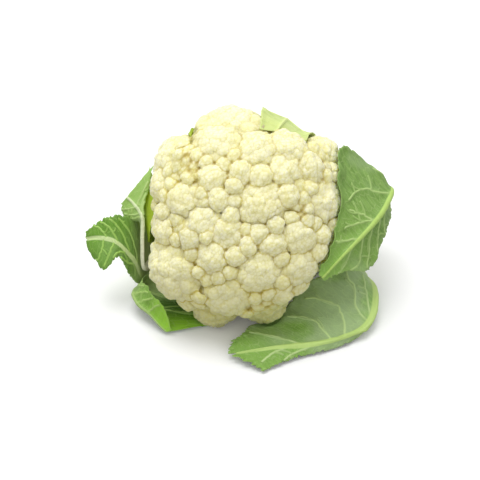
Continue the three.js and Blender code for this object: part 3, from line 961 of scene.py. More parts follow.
def rail(points, shares):
    """Points on a uniform Catmull-Rom curve through these, at these shares of its points."""
    line = np.array(points, float)
    line = np.vstack([2 * line[0] - line[1], line, 2 * line[-1] - line[-2]])
    place = np.asarray(shares) * (len(points) - 1)
    first = np.minimum(place.astype(int), len(points) - 2)
    t = (place - first)[:, None]
    a, b, c, d = line[first], line[first + 1], line[first + 2], line[first + 3]
    return b + 0.5 * t * (c - a + t * (2 * a - 5 * b + 4 * c - d + t * (3 * (b - c) + d - a)))


RIB_SAMPLES = 60


def rib_length(leaf):
    line = rail(leaf["rib"], np.linspace(0, 1, RIB_SAMPLES))
    return np.linalg.norm(np.diff(line, axis=0), axis=1).sum()


print("ribs in mm:", {name: round(rib_length(leaf)) for name, leaf in LEAVES.items()})

# %% [markdown]
# ## Leaves: edges, veins and thickness
# What makes a sheet look like a cabbage leaf is in its small shapes. Its edge is cut into uneven
# teeth and rolls in waves. Side veins leave the rib at a slant and arch towards the tip, forking as
# they go, and the blade swells a little between them like a quilt. Rib and veins stand out on the
# underside and hardly show on the upper face. Every vein is a line drawn on the sheet, given by
# how far along the rib it runs, from 0 to 1, and how far across the blade, from -1 to 1.

# %% Uneven waves and teeth
OCTAVES = {"count": 3, "pace": 1.9, "fade": 1.6, "vary": (0.85, 1.15), "phase": 6.3, "sum": 1.9}
TOOTH = {"lean": 0.35, "lean_pace": 0.7, "round": 0.9, "depth": 0.6, "depth_pace": 0.4}


def waves(t, seed):
    """Smooth uneven noise from about -1 to 1 along t, from a few sines with no common period."""
    draw = np.random.default_rng(seed)
    total = np.zeros_like(t)
    for k in range(OCTAVES["count"]):
        pace = 2 * math.pi * OCTAVES["pace"] ** k * draw.uniform(*OCTAVES["vary"])
        total += np.sin(t * pace + draw.uniform(0, OCTAVES["phase"])) / OCTAVES["fade"] ** k
    return total / OCTAVES["sum"]


def teeth(t, seed):
    """How deep the edge is cut along t, from 0 to 1: rounded lobes with sharp notches between."""
    lean = TOOTH["lean"] * waves(t * TOOTH["lean_pace"], seed)
    lobes = np.abs(np.sin(math.pi * (t + lean))) ** TOOTH["round"]
    uneven = (1 - TOOTH["depth"]) * waves(t * TOOTH["depth_pace"], seed + 1)
    return (1 - lobes) * (TOOTH["depth"] + uneven)


# %% [markdown]
# The middle of the sheet is a grid of points, rows along the rib and columns across it. A point's
# place between rib and margin comes from the rails. Then the belly, the ripples and the teeth move
# it, and last it is pushed out of the florets and off the table.

# %% The middle of the sheet
CLEAR = 2.0  # from the middle of a blade to the nearest floret, in mm
TABLE = 1.2  # the least height of the middle of a blade over the table
WIDE_BLADE = 30  # mm from rib to margin: a narrower blade is bellied less
ROW_POWER = 0.75  # under 1, so rows are closer together towards the tip
FAR_END = 0.75  # how far along the rib the teeth of the leaf's end begin to count
EASING = 2  # rounds of smoothing over the finished grid
# how a margin's teeth and ripples fade in towards it from the rib, as powers of the way across,
# and how much of a narrow blade a tooth may take
FADE = {"teeth": 3, "ripple": 2.2, "most_cut": 0.5, "narrow": 4, "after_stem": 0.12}
SEEDS = {"left": 11, "right": 23, "ripple": 5}  # added to a leaf's own seed, so no two edges match


def cleared(points):
    """Pushes points out of every floret, and up off the table."""
    for x, y, z, radius in kept_clear:
        away = points - [x, y, z]
        length = np.linalg.norm(away, axis=-1, keepdims=True)
        short = np.maximum(radius + CLEAR - length, 0)
        points = points + away / np.maximum(length, TINY) * short
    low = TABLE - (points @ UPRIGHT + SEAT[2])
    return points + np.maximum(low, 0)[..., None] * UPRIGHT


def eased(grid):
    """Averages each inner point with its four neighbours."""
    for _ in range(EASING):
        middle = (grid[:-2, 1:-1] + grid[2:, 1:-1] + grid[1:-1, :-2] + grid[1:-1, 2:]) / 4
        grid = grid.copy()
        grid[1:-1, 1:-1] = (grid[1:-1, 1:-1] + middle) / 2
    return grid


def grid_normals(grid):
    along = np.gradient(grid, axis=0)
    across = np.gradient(grid, axis=1)
    return unit(np.cross(along, across))


def row_shares(rows):
    """How far along the rib each row is, closer together towards the tip."""
    return np.linspace(0, 1, rows) ** ROW_POWER


def spanned(leaf, rows, columns, habit):
    """The middle of the sheet as a grid of points, rows along the rib and columns across it."""
    shares = row_shares(rows)
    left, rib, right = (rail(leaf[key], shares) for key in ("left", "rib", "right"))
    along = unit(np.gradient(rib, axis=0))
    inwards = unit(np.cross(right - left, along))
    length = np.cumsum(np.linalg.norm(np.diff(rib, axis=0, prepend=rib[:1]), axis=1))
    near_end = np.clip((shares - FAR_END) / (1 - FAR_END), 0, 1) ** 2
    end_width = np.linalg.norm(right[-1] - left[-1]) / 2
    blade = np.clip((shares - habit["stem"]) / FADE["after_stem"], 0, 1)
    grid = np.empty((rows, len(columns), 3))
    for j, a in enumerate(columns):
        side_key = "left" if a < 0 else "right"
        end_teeth = teeth(np.array([a * end_width / habit["tooth"]]), habit["seed"])[0]
        here = shares - habit.get("end_cut", 0) / length[-1] * end_teeth * near_end
        rib, margin = rail(leaf["rib"], here), rail(leaf[side_key], here)
        width = np.linalg.norm(margin - rib, axis=1)
        cut = habit["cut"] * teeth(length / habit["tooth"], habit["seed"] + SEEDS[side_key])
        cut = np.minimum(cut * blade / np.maximum(width, FADE["narrow"]), FADE["most_cut"])
        side = abs(a) * (1 - cut * abs(a) ** FADE["teeth"])
        arch = 4 * side * (1 - side)  # 0 at the rib and at the margin, 1 midway
        belly = leaf["cup"] * arch * np.minimum(width / WIDE_BLADE, 1)
        if "bulge" in habit and a < 0:
            place, spread, amount = habit["bulge"]
            belly += amount * np.exp(-(((shares - place) / spread) ** 2)) * arch
        ripple = waves(length / habit["wave"], habit["seed"] + SEEDS[side_key] + SEEDS["ripple"])
        ripple = ripple * habit["ripple"] * blade * abs(a) ** FADE["ripple"]
        grid[:, j] = rib + (margin - rib) * side[:, None] + inwards * (belly + ripple)[:, None]
    return eased(cleared(grid)), length


# %% [markdown]
# A vein is first a line on the flat sheet, so it follows every bend of it. The side veins arch out
# from the rib, and each throws off a few finer forks at random. The distance from every point to
# the nearest vein then puffs up the blade between them.

# %% Veins
VEIN = {
    "main": (0.85, 0.46), "fork": (0.54, 0.46),  # mm: half widths at either end
    "halo": 1.1, "fade": 0.7,  # mm over which a vein raises the blade, and how that fades along it
    "steps": 24, "arch_points": 9, "steady": 0.35,  # the even part of an arch's way to the tip
    "wiggle": 0.006, "wiggle_pace": 2.5, "seeds": 1e6,
    "fork_paleness": 0.7, "sides": 8,
}  # fmt: skip
FORK = {
    "places": (0.15, 0.9), "size": (0.5, 1), "shrink": 1.15,  # where it starts, smaller further out
    "points": 10, "spread": 0.075, "bend": 1.4,  # how far it strays along the rib, and how soon
    "across": 0.5, "curve": 1.3, "limit": 0.97,  # how far it goes outwards, short of the margin
}  # fmt: skip


def on_sheet(grid, columns, line):
    """Where a line of (along, across) pairs runs on the sheet."""
    along, across = np.array(line, float).T
    i = np.interp(along, row_shares(len(grid)), np.arange(len(grid)))
    j = np.interp(across, columns, np.arange(len(columns)))
    row = np.minimum(i.astype(int), len(grid) - 2)
    column = np.minimum(j.astype(int), len(columns) - 2)
    p, q = (i - row)[:, None], (j - column)[:, None]
    low = grid[row, column] * (1 - q) + grid[row, column + 1] * q
    high = grid[row + 1, column] * (1 - q) + grid[row + 1, column + 1] * q
    return low * (1 - p) + high * p


def distance_to(points, line):
    """The distance of each point to a line of points, and how far along the line that is."""
    starts, steps = line[:-1], np.diff(line, axis=0)
    away = points[:, None, :] - starts[None]
    reach_along = (away * steps).sum(2) / np.maximum((steps**2).sum(1), TINY)
    reach_along = np.clip(reach_along, 0, 1)
    gap = np.linalg.norm(away - reach_along[..., None] * steps, axis=2)
    nearest = gap.argmin(1)
    rows = np.arange(len(points))
    share = (nearest + reach_along[rows, nearest]) / len(steps)
    return gap[rows, nearest], share


def arched(start, across, sweep):
    """A side vein that leaves the rib at start and arches towards the tip as it goes outwards."""
    t = np.linspace(0, 1, VEIN["arch_points"])
    steady = VEIN["steady"]
    return np.column_stack([start + sweep * (steady * t + (1 - steady) * t**2), across * t])


def vein_lines(habit):
    """Lines of (along, across) pairs, each with its half width at either end in mm."""
    draw = np.random.default_rng(habit["seed"])
    fine = np.linspace(0, 1, VEIN["steps"])
    mains = [np.array(line, float) for line in habit.get("veins", [])]
    mains += [arched(*arch) for arch in habit.get("arches", [])]
    lines = []
    for line in mains:
        line = rail(np.column_stack([line, np.zeros(len(line))]), fine)[:, :2]
        wiggle = waves(fine * VEIN["wiggle_pace"], int(draw.integers(VEIN["seeds"])))
        line[:, 0] += VEIN["wiggle"] * wiggle * np.sin(math.pi * fine)
        lines.append((line, *VEIN["main"]))
        outward = np.sign(line[-1, 1] - line[0, 1])
        for fork in np.sort(draw.uniform(*FORK["places"], habit.get("forks", 3))):
            start = line[int(fork * (len(line) - 1))]
            size = draw.uniform(*FORK["size"]) * (FORK["shrink"] - fork)
            t = np.linspace(0, 1, FORK["points"])
            bend = draw.choice([-1, 1]) * habit.get("fork_spread", FORK["spread"])
            bend = bend * size * np.sin(t * FORK["bend"])
            across = start[1] + outward * FORK["across"] * size * t ** FORK["curve"]
            across = np.clip(across, -FORK["limit"], FORK["limit"])
            lines.append((np.column_stack([start[0] + bend, across]), *VEIN["fork"]))
    return lines


def veins_over(grid, columns, lines):
    """For each point of the sheet: how much it lies on a vein, and the distance to the nearest."""
    points = grid.reshape(-1, 3)
    on_vein = np.zeros(len(points))
    nearest = np.full(len(points), FAR)
    for line, wide, _ in lines:
        gap, share = distance_to(points, on_sheet(grid, columns, line))
        if wide == VEIN["main"][0]:
            halo = np.exp(-((gap / VEIN["halo"]) ** 2)) * (1 - VEIN["fade"] * share)
            on_vein = np.maximum(on_vein, halo)
        nearest = np.minimum(nearest, gap)
    return on_vein.reshape(grid.shape[:2]), nearest.reshape(grid.shape[:2])


def vein_tubes(middle, columns, lines):
    """Points, faces and measures of fine tubes in the sheet, which stand out of both faces."""
    points, edges, thickness, paleness, share = [], [], [], [], []
    for line, wide, narrow in lines:
        t = np.linspace(0, 1, len(line))
        pale = 1.0 if wide == VEIN["main"][0] else VEIN["fork_paleness"]
        paleness += [pale] * len(line)
        share += line[:, 0].tolist()
        edges += [(len(points) + k, len(points) + k + 1) for k in range(len(line) - 1)]
        points += on_sheet(middle, columns, line).tolist()
        thickness += (wide + (narrow - wide) * np.sqrt(t)).tolist()
    measures = {"thickness": thickness, "vein": paleness, "share": share}
    return tubes_along("veins", VEIN["sides"], points, edges, **measures)


# %% [markdown]
# The blade is that sheet with two faces, closed round its rim. It is thick at the rib, which stands
# out mostly below, and thins to nearly nothing at the margin. Its measures go with its points: how
# near the rib, a vein and the edge each one is, and where it lies along and across.

# %% A closed blade
BLADE = 0.9  # mm: the blade's thickness away from its rib
ROWS_PER_MM, ACROSS = 0.9, 30  # rows along each millimetre of rib, and columns on each side of it
LEAST_ROWS = 24
UPWARD_ROW = 12  # the row this fraction of the way along has its upper face upwards


def closed_sheet(upper, lower):
    """Points and faces of the closed skin between two grids."""
    rows, columns = upper.shape[:2]
    number = np.arange(rows * columns).reshape(rows, columns)
    under = number + rows * columns

    def quads(a, b, c, d):
        return np.stack([a, b, c, d], axis=-1).reshape(-1, 4)

    top = quads(number[:-1, :-1], number[1:, :-1], number[1:, 1:], number[:-1, 1:])
    bottom = quads(under[:-1, :-1], under[:-1, 1:], under[1:, 1:], under[1:, :-1])
    rims = []
    for edge, edge_under in (
        (number[:, 0], under[:, 0]),
        (number[::-1, -1], under[::-1, -1]),
        (number[-1], under[-1]),
        (number[0, ::-1], under[0, ::-1]),
    ):
        rims.append(quads(edge[:-1], edge_under[:-1], edge_under[1:], edge[1:]))
    points = np.vstack([upper.reshape(-1, 3), lower.reshape(-1, 3)])
    return points, np.vstack([top, bottom, *rims]).tolist()


RELIEF = {
    "vein": 0.3, "quilt": 1.1, "quilt_width": 4.5, "quilt_rim": 5,  # mm
    "outer_share": 0.62,  # the part of a rib's height that stands out of the underside
    "rib_width": 0.75, "pale_rib": 0.65, "rib_edge": 6,
    "rim": 1.6, "rim_share": 0.2,  # mm over which the blade thins, and what is left at its rim
}  # fmt: skip
COLUMNS = {"even": 0.55, "power": 2.2}  # columns are closer together near the rib


def leaf_columns(across):
    """How far across the sheet each column is, from -1 at one margin to 1 at the other."""
    half = np.linspace(0, 1, across + 1)
    half = COLUMNS["even"] * half + (1 - COLUMNS["even"]) * half ** COLUMNS["power"]
    return np.concatenate([-half[:0:-1], half])


def leaf_piece(name, leaf, habit):
    """A leaf from its rails and its habit, as a closed thin body with its measures."""
    across = habit.get("across", ACROSS)
    rows = max(LEAST_ROWS, int(rib_length(leaf) * habit.get("rows_per_mm", ROWS_PER_MM)))
    columns = leaf_columns(across)
    grid, length = spanned(leaf, rows, columns, habit)
    towards_upper = grid_normals(grid)
    towards_upper = towards_upper * np.sign(towards_upper[rows // UPWARD_ROW, across, 2])
    lines = vein_lines(habit)
    on_vein, near = veins_over(grid, columns, lines)
    offset = np.linalg.norm(grid - grid[:, across : across + 1], axis=2)
    share = row_shares(rows)[:, None]
    height, width = (
        leaf[key][0] + (leaf[key][1] - leaf[key][0]) * np.sqrt(share)
        for key in ("rib_height", "rib_width")
    )
    rib = np.exp(-((offset / (width * RELIEF["rib_width"])) ** 2))
    margin = np.where(columns < 0, offset[:, :1], offset[:, -1:])
    edge = np.minimum(np.abs(margin - offset), length[-1] - length[:, None])
    rounded = np.sqrt(1 - (1 - np.clip(edge / RELIEF["rim"], 0, 1)) ** 2)
    rounded = rounded * (1 - RELIEF["rim_share"]) + RELIEF["rim_share"]
    quilt = 1 - np.exp(-((near / RELIEF["quilt_width"]) ** 2))
    quilt = RELIEF["quilt"] * habit.get("quilt", 1) * quilt
    quilt = quilt * (1 - rib) * np.clip(edge / RELIEF["quilt_rim"], 0, 1)
    middle = grid + towards_upper * (quilt - RELIEF["quilt"] / 2)[..., None]
    blade, ridge = BLADE / 2 * rounded, RELIEF["vein"] * on_vein * rounded
    outer = RELIEF["outer_share"]
    upper = middle + towards_upper * (blade + height * rib * (1 - outer))[..., None]
    lower = middle - towards_upper * (blade + height * rib * outer + ridge)[..., None]
    points, faces = closed_sheet(upper, lower)
    pale_width = width * habit.get("pale_rib", RELIEF["pale_rib"])
    measures = {
        "vein": on_vein,
        "rib": 1 / (1 + (offset / pale_width) ** habit.get("rib_edge", RELIEF["rib_edge"])),
        "edge": edge,
        "along": length[:, None],
        "across": np.where(columns < 0, -1, 1) * offset,
        "share": share,
    }
    for key, values in measures.items():
        measures[key] = np.tile(np.broadcast_to(values, offset.shape).ravel(), 2)
    measures["under"] = np.repeat([0.0, 1.0], offset.size)
    if lines:
        tubes, tube_faces, kept = vein_tubes(middle, columns, lines)
        faces += [[len(points) + i for i in face] for face in tube_faces]
        points = np.vstack([points, tubes])
        kept.update({"rib": 0.0, "edge": FAR, "along": 0.0, "across": 0.0, "under": 0.5})
        for key, value in kept.items():
            measures[key] = np.append(measures[key], np.broadcast_to(value, len(tubes)))
    return mesh_object("grown_" + name, points, faces, **measures)


# %% [markdown]
# ## Leaves: the habit of each one
# Every leaf grows its own way: how long its bare stem is, how deep and how close its teeth are,
# how it ripples and where its main veins run. Those few numbers are its habit. Some leaves show
# their veins plainly, so each of those veins is drawn. The others arch out in the same way.

# %% Grow the leaves
HABITS = {
    "leaf_right": {
        "seed": 3, "stem": 0.25, "cut": 2.2, "tooth": 4.5, "ripple": 1.1, "wave": 21,
        "end_cut": 2, "across": 42, "rows_per_mm": 1.0, "bulge": (0.38, 0.07, -4.5),
        "rib_edge": 4,
        "veins": [
            [(0.42, -0.03), (0.485, -0.25), (0.53, -0.38), (0.59, -0.51), (0.64, -0.6)],
            [(0.585, 0), (0.645, -0.13), (0.72, -0.36), (0.765, -0.56)],
            [(0.6, 0), (0.62, -0.17), (0.645, -0.35), (0.67, -0.52)],
            [(0.73, 0), (0.795, -0.3), (0.84, -0.68)],
            [(0.49, 0), (0.51, 0.4), (0.55, 0.75), (0.58, 0.95)],
            [(0.55, 0), (0.58, 0.35), (0.62, 0.65), (0.67, 0.95)],
            [(0.62, 0), (0.66, 0.3), (0.7, 0.6), (0.76, 0.93)],
            [(0.7, 0), (0.74, 0.4), (0.79, 0.7), (0.85, 0.95)],
            [(0.79, 0), (0.84, 0.4), (0.88, 0.7), (0.92, 0.92)],
        ],
        "arches": [(0.2, -0.8, 0.12), (0.31, -0.8, 0.1), (0.22, 0.8, 0.12), (0.33, 0.8, 0.1)],
    },
    "leaf_front": {
        "seed": 5, "stem": 0.2, "cut": 2.0, "tooth": 5.5, "ripple": 1.1, "wave": 26,
        "end_cut": 9, "pale_rib": 1.0, "rib_edge": 4, "across": 42, "rows_per_mm": 1.0,
        "forks": 2, "fork_spread": 0.05,
        "veins": [
            [(0.63, -0.04), (0.575, -0.31), (0.555, -0.46), (0.57, -0.69), (0.6, -0.86)],
            [(0.675, -0.05), (0.66, -0.33), (0.655, -0.58), (0.68, -0.7), (0.695, -0.8)],
            [(0.525, -0.08), (0.51, -0.28), (0.445, -0.49), (0.418, -0.72), (0.4, -0.85)],
            [(0.5, -0.05), (0.45, -0.18), (0.4, -0.35), (0.36, -0.5)],
            [(0.78, -0.05), (0.8, -0.3), (0.83, -0.6), (0.855, -0.86)],
            [(0.7, 0.05), (0.76, 0.4), (0.82, 0.7), (0.87, 0.93)],
            [(0.81, 0.05), (0.87, 0.35), (0.92, 0.55), (0.955, 0.68)],
        ],
        "arches": [
            (0.2, -0.8, 0.1), (0.3, -0.8, 0.08),
            (0.2, 0.8, 0.1), (0.3, 0.8, 0.1), (0.45, 0.8, 0.1),
        ],
    },
    "leaf_left": {
        "seed": 8, "stem": 0.45, "cut": 2.8, "tooth": 5.5, "ripple": 1.2, "wave": 22,
        "end_cut": 4, "forks": 1, "pale_rib": 0.8, "rib_edge": 3,
        "arches": [
            (0.52, -0.9, 0.14), (0.61, -0.9, 0.13), (0.7, -0.9, 0.12), (0.79, -0.9, 0.1),
            (0.55, 0.9, 0.14), (0.64, 0.9, 0.12), (0.73, 0.9, 0.11), (0.82, 0.9, 0.1),
        ],
    },
    "leaf_lower_left": {
        "seed": 12, "stem": 0.35, "cut": 1.4, "tooth": 6, "ripple": 0.9, "wave": 22,
        "end_cut": 2, "pale_rib": 0.45,
        "arches": [
            (0.38, -0.9, 0.14), (0.48, -0.9, 0.13), (0.58, -0.9, 0.12), (0.7, -0.9, 0.1),
            (0.4, 0.9, 0.14), (0.62, 0.9, 0.12),
        ],
    },
    "leaf_upper_left": {
        "seed": 15, "stem": 0.58, "cut": 1.4, "tooth": 5, "ripple": 0.9, "wave": 18,
        "end_cut": 2,
        "arches": [
            (0.64, -0.9, 0.14), (0.72, -0.9, 0.12), (0.82, -0.9, 0.1),
            (0.64, 0.9, 0.14), (0.72, 0.9, 0.12), (0.82, 0.9, 0.1),
        ],
    },
    "inner_leaf_top": {
        "seed": 21, "stem": 0.3, "cut": 1.2, "tooth": 5, "ripple": 0.6, "wave": 15,
        "forks": 2, "across": 24,
        "arches": [(0.4, -0.9, 0.16), (0.6, -0.9, 0.14), (0.4, 0.9, 0.16), (0.6, 0.9, 0.14)],
    },
    "inner_leaf_crown": {
        "seed": 24, "stem": 0.3, "cut": 0.8, "tooth": 5, "ripple": 0.4, "wave": 15,
        "forks": 1, "across": 12, "arches": [(0.5, -0.9, 0.16), (0.5, 0.9, 0.16)],
    },
}  # fmt: skip
HABITS["inner_leaf_left"] = {**HABITS["inner_leaf_crown"], "seed": 27}

leaves = {}
for name, leaf in LEAVES.items():
    leaves[name] = lay_down(leaf_piece(name, leaf, HABITS[name]))
print("leaves, faces:", {name: len(leaf.data.polygons) for name, leaf in leaves.items()})

# %% [markdown]
# ## Stumps
# The grower cuts most leaves away and leaves their thick white stems, which hug the curd from
# behind. A stump is the same kind of sheet as a leaf, but broad, thick and cut straight across.

# %% Cut leaf stems
STALK = {"top": -46, "end": -81.4, "neck_radius": 21, "radius": 25}
STUMPS = [
    {"angle": 46, "reach": 40, "width": 24, "start": -61, "rise": 22},
    {"angle": 79, "reach": 50, "width": 31, "start": -71, "rise": 34},
    {"angle": 119, "reach": 52, "width": 29, "start": -71, "rise": 34},
    {"angle": 151, "reach": 46, "width": 30, "start": -62, "rise": 34},
    {"angle": 280, "reach": 22, "width": 22, "start": -59, "rise": 20},
]
STUMP = {
    "rib_height": (5, 4), "rib_width": (7, 9), "cup": 0,
    "cupping": 0.25,  # how far its margins stand over its middle, as a share of its half width
}  # fmt: skip
STUMP_HABIT = {
    "seed": 40, "stem": 1.0, "cut": 0, "tooth": 6, "ripple": 0, "wave": 20, "quilt": 0,
    "rows_per_mm": 0.7, "across": 16,
}  # fmt: skip


def stump_rails(stump):
    """Rails of a stump, from inside the stalk, over its foot and its bend, to its cut."""
    turn = math.radians(stump["angle"])
    outward = np.array([math.cos(turn), math.sin(turn)])
    sideways = np.array([-math.sin(turn), math.cos(turn)])
    start, rise, reach_out, width = (stump[key] for key in ("start", "rise", "reach", "width"))
    stations = [  # how far out, half as wide as the stump is there, and how high
        (STALK["radius"] - 7, 8, start),
        (STALK["radius"] + reach_out * 0.35, 10, start + rise * 0.1),
        (STALK["radius"] + reach_out * 0.75, width * 0.42, start + rise * 0.45),
        (STALK["radius"] + reach_out, width * 0.5, start + rise),
    ]
    rails = {}
    for key, side in {"left": 1, "rib": 0, "right": -1}.items():
        rails[key] = []
        for out, half, z in stations:
            x, y = outward * out + sideways * side * half
            rails[key].append((x, y, z + abs(side) * half * STUMP["cupping"]))
    return rails


stumps = {}
for i, stump in enumerate(STUMPS):
    name = f"cut_petiole_{i + 1}"
    habit = {**STUMP_HABIT, "seed": STUMP_HABIT["seed"] + i}
    stumps[name] = lay_down(leaf_piece(name, {**STUMP, **stump_rails(stump)}, habit))
print("stumps, faces:", {name: len(stump.data.polygons) for name, stump in stumps.items()})

# %% [markdown]
# ## Stalk
# The stalk is 50 mm thick and is cut straight across. It is turned from a profile like a lathe
# piece, then made uneven: leaf scars bulge where the leaves left it, and shallow ridges run down
# it.

# %% Turn the stalk
STALK_RINGS = {"turns": 120, "apart": 0.8}  # points round a ring, and mm from ring to ring
STALK_BULGE = {"depth": 0.7, "scars": 5, "twist": 0.05, "rim": 4, "seed": 61}
CUT_FACE = {"depth": 2.2, "edge": 0.8}  # mm from the stalk's end: what looks cut, and how it ends


def stalk_piece():
    top, end, radius, neck_radius = (STALK[key] for key in ("top", "end", "radius", "neck_radius"))
    profile = [  # radius and height, from the middle of the cut face to the middle of the top
        (0.0, end + 1.2), (8, end + 1.0), (16, end + 0.6), (radius - 3.5, end + 0.2),
        (radius - 1.5, end), (radius - 0.4, end + 0.5), (radius, end + 1.5),
        (radius + 1, end + 16), (radius - 1, top - 10), (neck_radius, top), (0.0, top),
    ]  # fmt: skip
    steps = np.linalg.norm(np.diff(profile, axis=0), axis=1)
    reach_along = np.concatenate([[0], np.cumsum(steps)])
    fine = np.arange(0, reach_along[-1], STALK_RINGS["apart"])
    radii, heights = (np.interp(fine, reach_along, column) for column in np.transpose(profile))
    turn = round_the_axis(STALK_RINGS["turns"])
    rings = []
    for r, z in zip(radii[1:-1], heights[1:-1]):
        place = turn / (2 * math.pi) * STALK_BULGE["scars"] + z * STALK_BULGE["twist"]
        uneven = (waves(place, STALK_BULGE["seed"]) - 1) * STALK_BULGE["depth"]
        rings.append((r + uneven * min(1, r / radius) ** STALK_BULGE["rim"], z))
    points = [[0, 0, heights[0]], *rings_round(turn, rings), [0, 0, heights[-1]]]
    points = np.array(points)
    cut = np.clip((end + CUT_FACE["depth"] - points[:, 2]) / CUT_FACE["edge"], 0, 1)
    measures = {"cut": cut, "radius": np.hypot(points[:, 0], points[:, 1])}
    faces = shell_of_rings(len(rings), len(turn))
    return lay_down(mesh_object("grown_stalk", points, faces, **measures))


stalk = stalk_piece()
print("stalk:", len(stalk.data.polygons), "faces")

# %% [markdown]
# ## Finishes in layers
# Each finish is built up as a painter glazes a surface: one colour, then layers over it, each with
# a mask that says where it goes. Masks come from noise or from a piece's own measures. Every
# finish ends the same way, with a colour, a roughness and a fine bump.

# %% Materials and layers
NOISE_ROUGHNESS = 0.55


def material(name, **constants):
    """A new material, its tree, and the sockets of its shader, with these constants on them."""
    made = bpy.data.materials.new(name)
    made.use_nodes = True
    made.node_tree.nodes.clear()
    tree = Tree(made.node_tree)
    values = {label.replace("_", " "): value for label, value in constants.items()}
    surface = tree.node("ShaderNodeBsdfPrincipled", {}, values)
    tree.node("ShaderNodeOutputMaterial", {}, {"Surface": surface})
    return made, tree, surface.socket.node.inputs


def measures_of(tree, *names):
    """The measures on the points of a piece, read in a material."""
    kind = "ShaderNodeAttribute"
    return [tree.node(kind, {"attribute_name": name}, output="Fac") for name in names]


def mixed(tree, amount, first, second, blend="MIX"):
    """The second colour over the first by this amount, each a colour or the output of a node."""
    first, second = ((*c, 1) if isinstance(c, tuple) else c for c in (first, second))
    settings = {"data_type": "RGBA", "blend_type": blend}
    return tree.node("ShaderNodeMix", settings, {0: amount, 6: first, 7: second}, output=2)


def layered(tree, colour, layers):
    """The colour under these layers, each given by how much of it there is and its own colour."""
    for amount, over in layers:
        colour = mixed(tree, amount, colour, over)
    return colour


def noise(tree, place, scale, detail=3.0):
    values = {"Vector": place, "Scale": scale, "Detail": detail, "Roughness": NOISE_ROUGHNESS}
    return tree.node("ShaderNodeTexNoise", {}, values)


def finish(tree, sockets, colour, roughness, relief, depth, strength):
    """Gives a shader its colour, its roughness and a bump of this many metres."""
    bump = {"Height": relief, "Distance": depth, "Strength": strength}
    tree.feed(sockets["Base Color"], colour)
    tree.feed(sockets["Roughness"], roughness)
    tree.feed(sockets["Normal"], tree.node("ShaderNodeBump", {}, bump))


def object_place(tree):
    return tree.node("ShaderNodeTexCoord", output="Object")


# %% [markdown]
# ## The finish of the curd
# The curd is matt, waxy and slightly see-through, so light sinks into it a little and creases
# glow yellow before they go dark. It is cream, with painted shade over that: yellower and then
# darker low down towards the table, and ochre in the creases between buds, lobes and florets,
# brown in patches where three florets meet and darker the deeper a place lies under the dome.
# The measures on the skin say where each of those is.

# %% Curd
def curd_finish():
    made, tree, sockets = material(
        "cream curd",
        Subsurface_Weight=0.75,
        Subsurface_Radius=(1.0, 1.0, 0.5),
        Subsurface_Scale=0.007,
        Specular_IOR_Level=0.25,
    )
    place = object_place(tree)
    height = tree.node("ShaderNodeSeparateXYZ", {}, {"Vector": place}, output="Z")
    cloudy = noise(tree, place, 28.0)
    speckle = noise(tree, place, 700.0, 2.0)
    grain = tree.node("ShaderNodeTexVoronoi", {}, {"Vector": place, "Scale": 620.0})
    floret, lobe, bud, pit = measures_of(tree, "floret_gap", "lobe_gap", "bud_gap", "pit_gap")
    bead, depth = measures_of(tree, "bead", "depth")
    uneven = noise(tree, place, 60.0, 1.0).step(0.35, 0.65)
    # painted shade between florets, uneven in strength and stronger low down
    shaded = 1.1 - 0.45 * height.step(0.04, 0.13)
    crease = (1 - floret.step(0.0, 1.4)) * (0.45 + 0.5 * uneven) * shaded
    patch = noise(tree, place, 45.0, 1.0).step(0.42, 0.6)
    layers = [
        # painted shade low down, yellower and then darker and greener; clouds of yellow lie over it
        # all
        (1 - height.step(-0.01, 0.10), (0.67, 0.65, 0.32)),
        ((1 - height.step(0.0, 0.05)) * 0.6, (0.47, 0.47, 0.16)),
        (cloudy.step(0.45, 0.75) * 0.35, (0.84, 0.78, 0.40)),
        # painted shade in yellow between buds and between lobes
        ((1 - bud.step(0.0, 0.6)) * 0.42, (0.68, 0.63, 0.20)),
        ((1 - lobe.step(0.0, 0.7)) * 0.5, (0.64, 0.58, 0.14)),
        # painted shade in a faint net between beads and between grains
        (bead.step(0.45, 0.8) * 0.15, (0.78, 0.74, 0.42)),
        (grain.step(0.35, 0.8) * 0.22, (0.76, 0.72, 0.40)),
        # painted shade: ochre in hollows and between florets, brown in some pits, darkest deep down
        (depth.step(3.0, 9.0) * 0.35, (0.74, 0.68, 0.24)),
        (crease, (0.58, 0.48, 0.07)),
        ((1 - pit.step(0.3, 2.8)) * patch * 0.8, (0.42, 0.30, 0.03)),
        (depth.step(9.0, 18.0) * 0.7, (0.42, 0.37, 0.10)),
        # pale specks
        (speckle.step(0.5, 0.8) * 0.12, (0.97, 0.96, 0.82)),
    ]
    colour = layered(tree, (0.895, 0.87, 0.60), layers)
    relief = 0.5 - grain * grain + speckle * 0.3
    finish(tree, sockets, colour, 0.6 + speckle * 0.2, relief, 0.0005, 0.5)
    return made


# %% [markdown]
# ## The finish of the leaves
# A cauliflower leaf is deep green on its upper face and paler below, where a bloom of wax makes it
# greyish and is rubbed off in places. The rib and the veins are pale yellow-green, and a net of
# fine veins shows faintly everywhere. One function makes the finish of the grown leaves and of the
# pale young ones, which differ only in their colours.

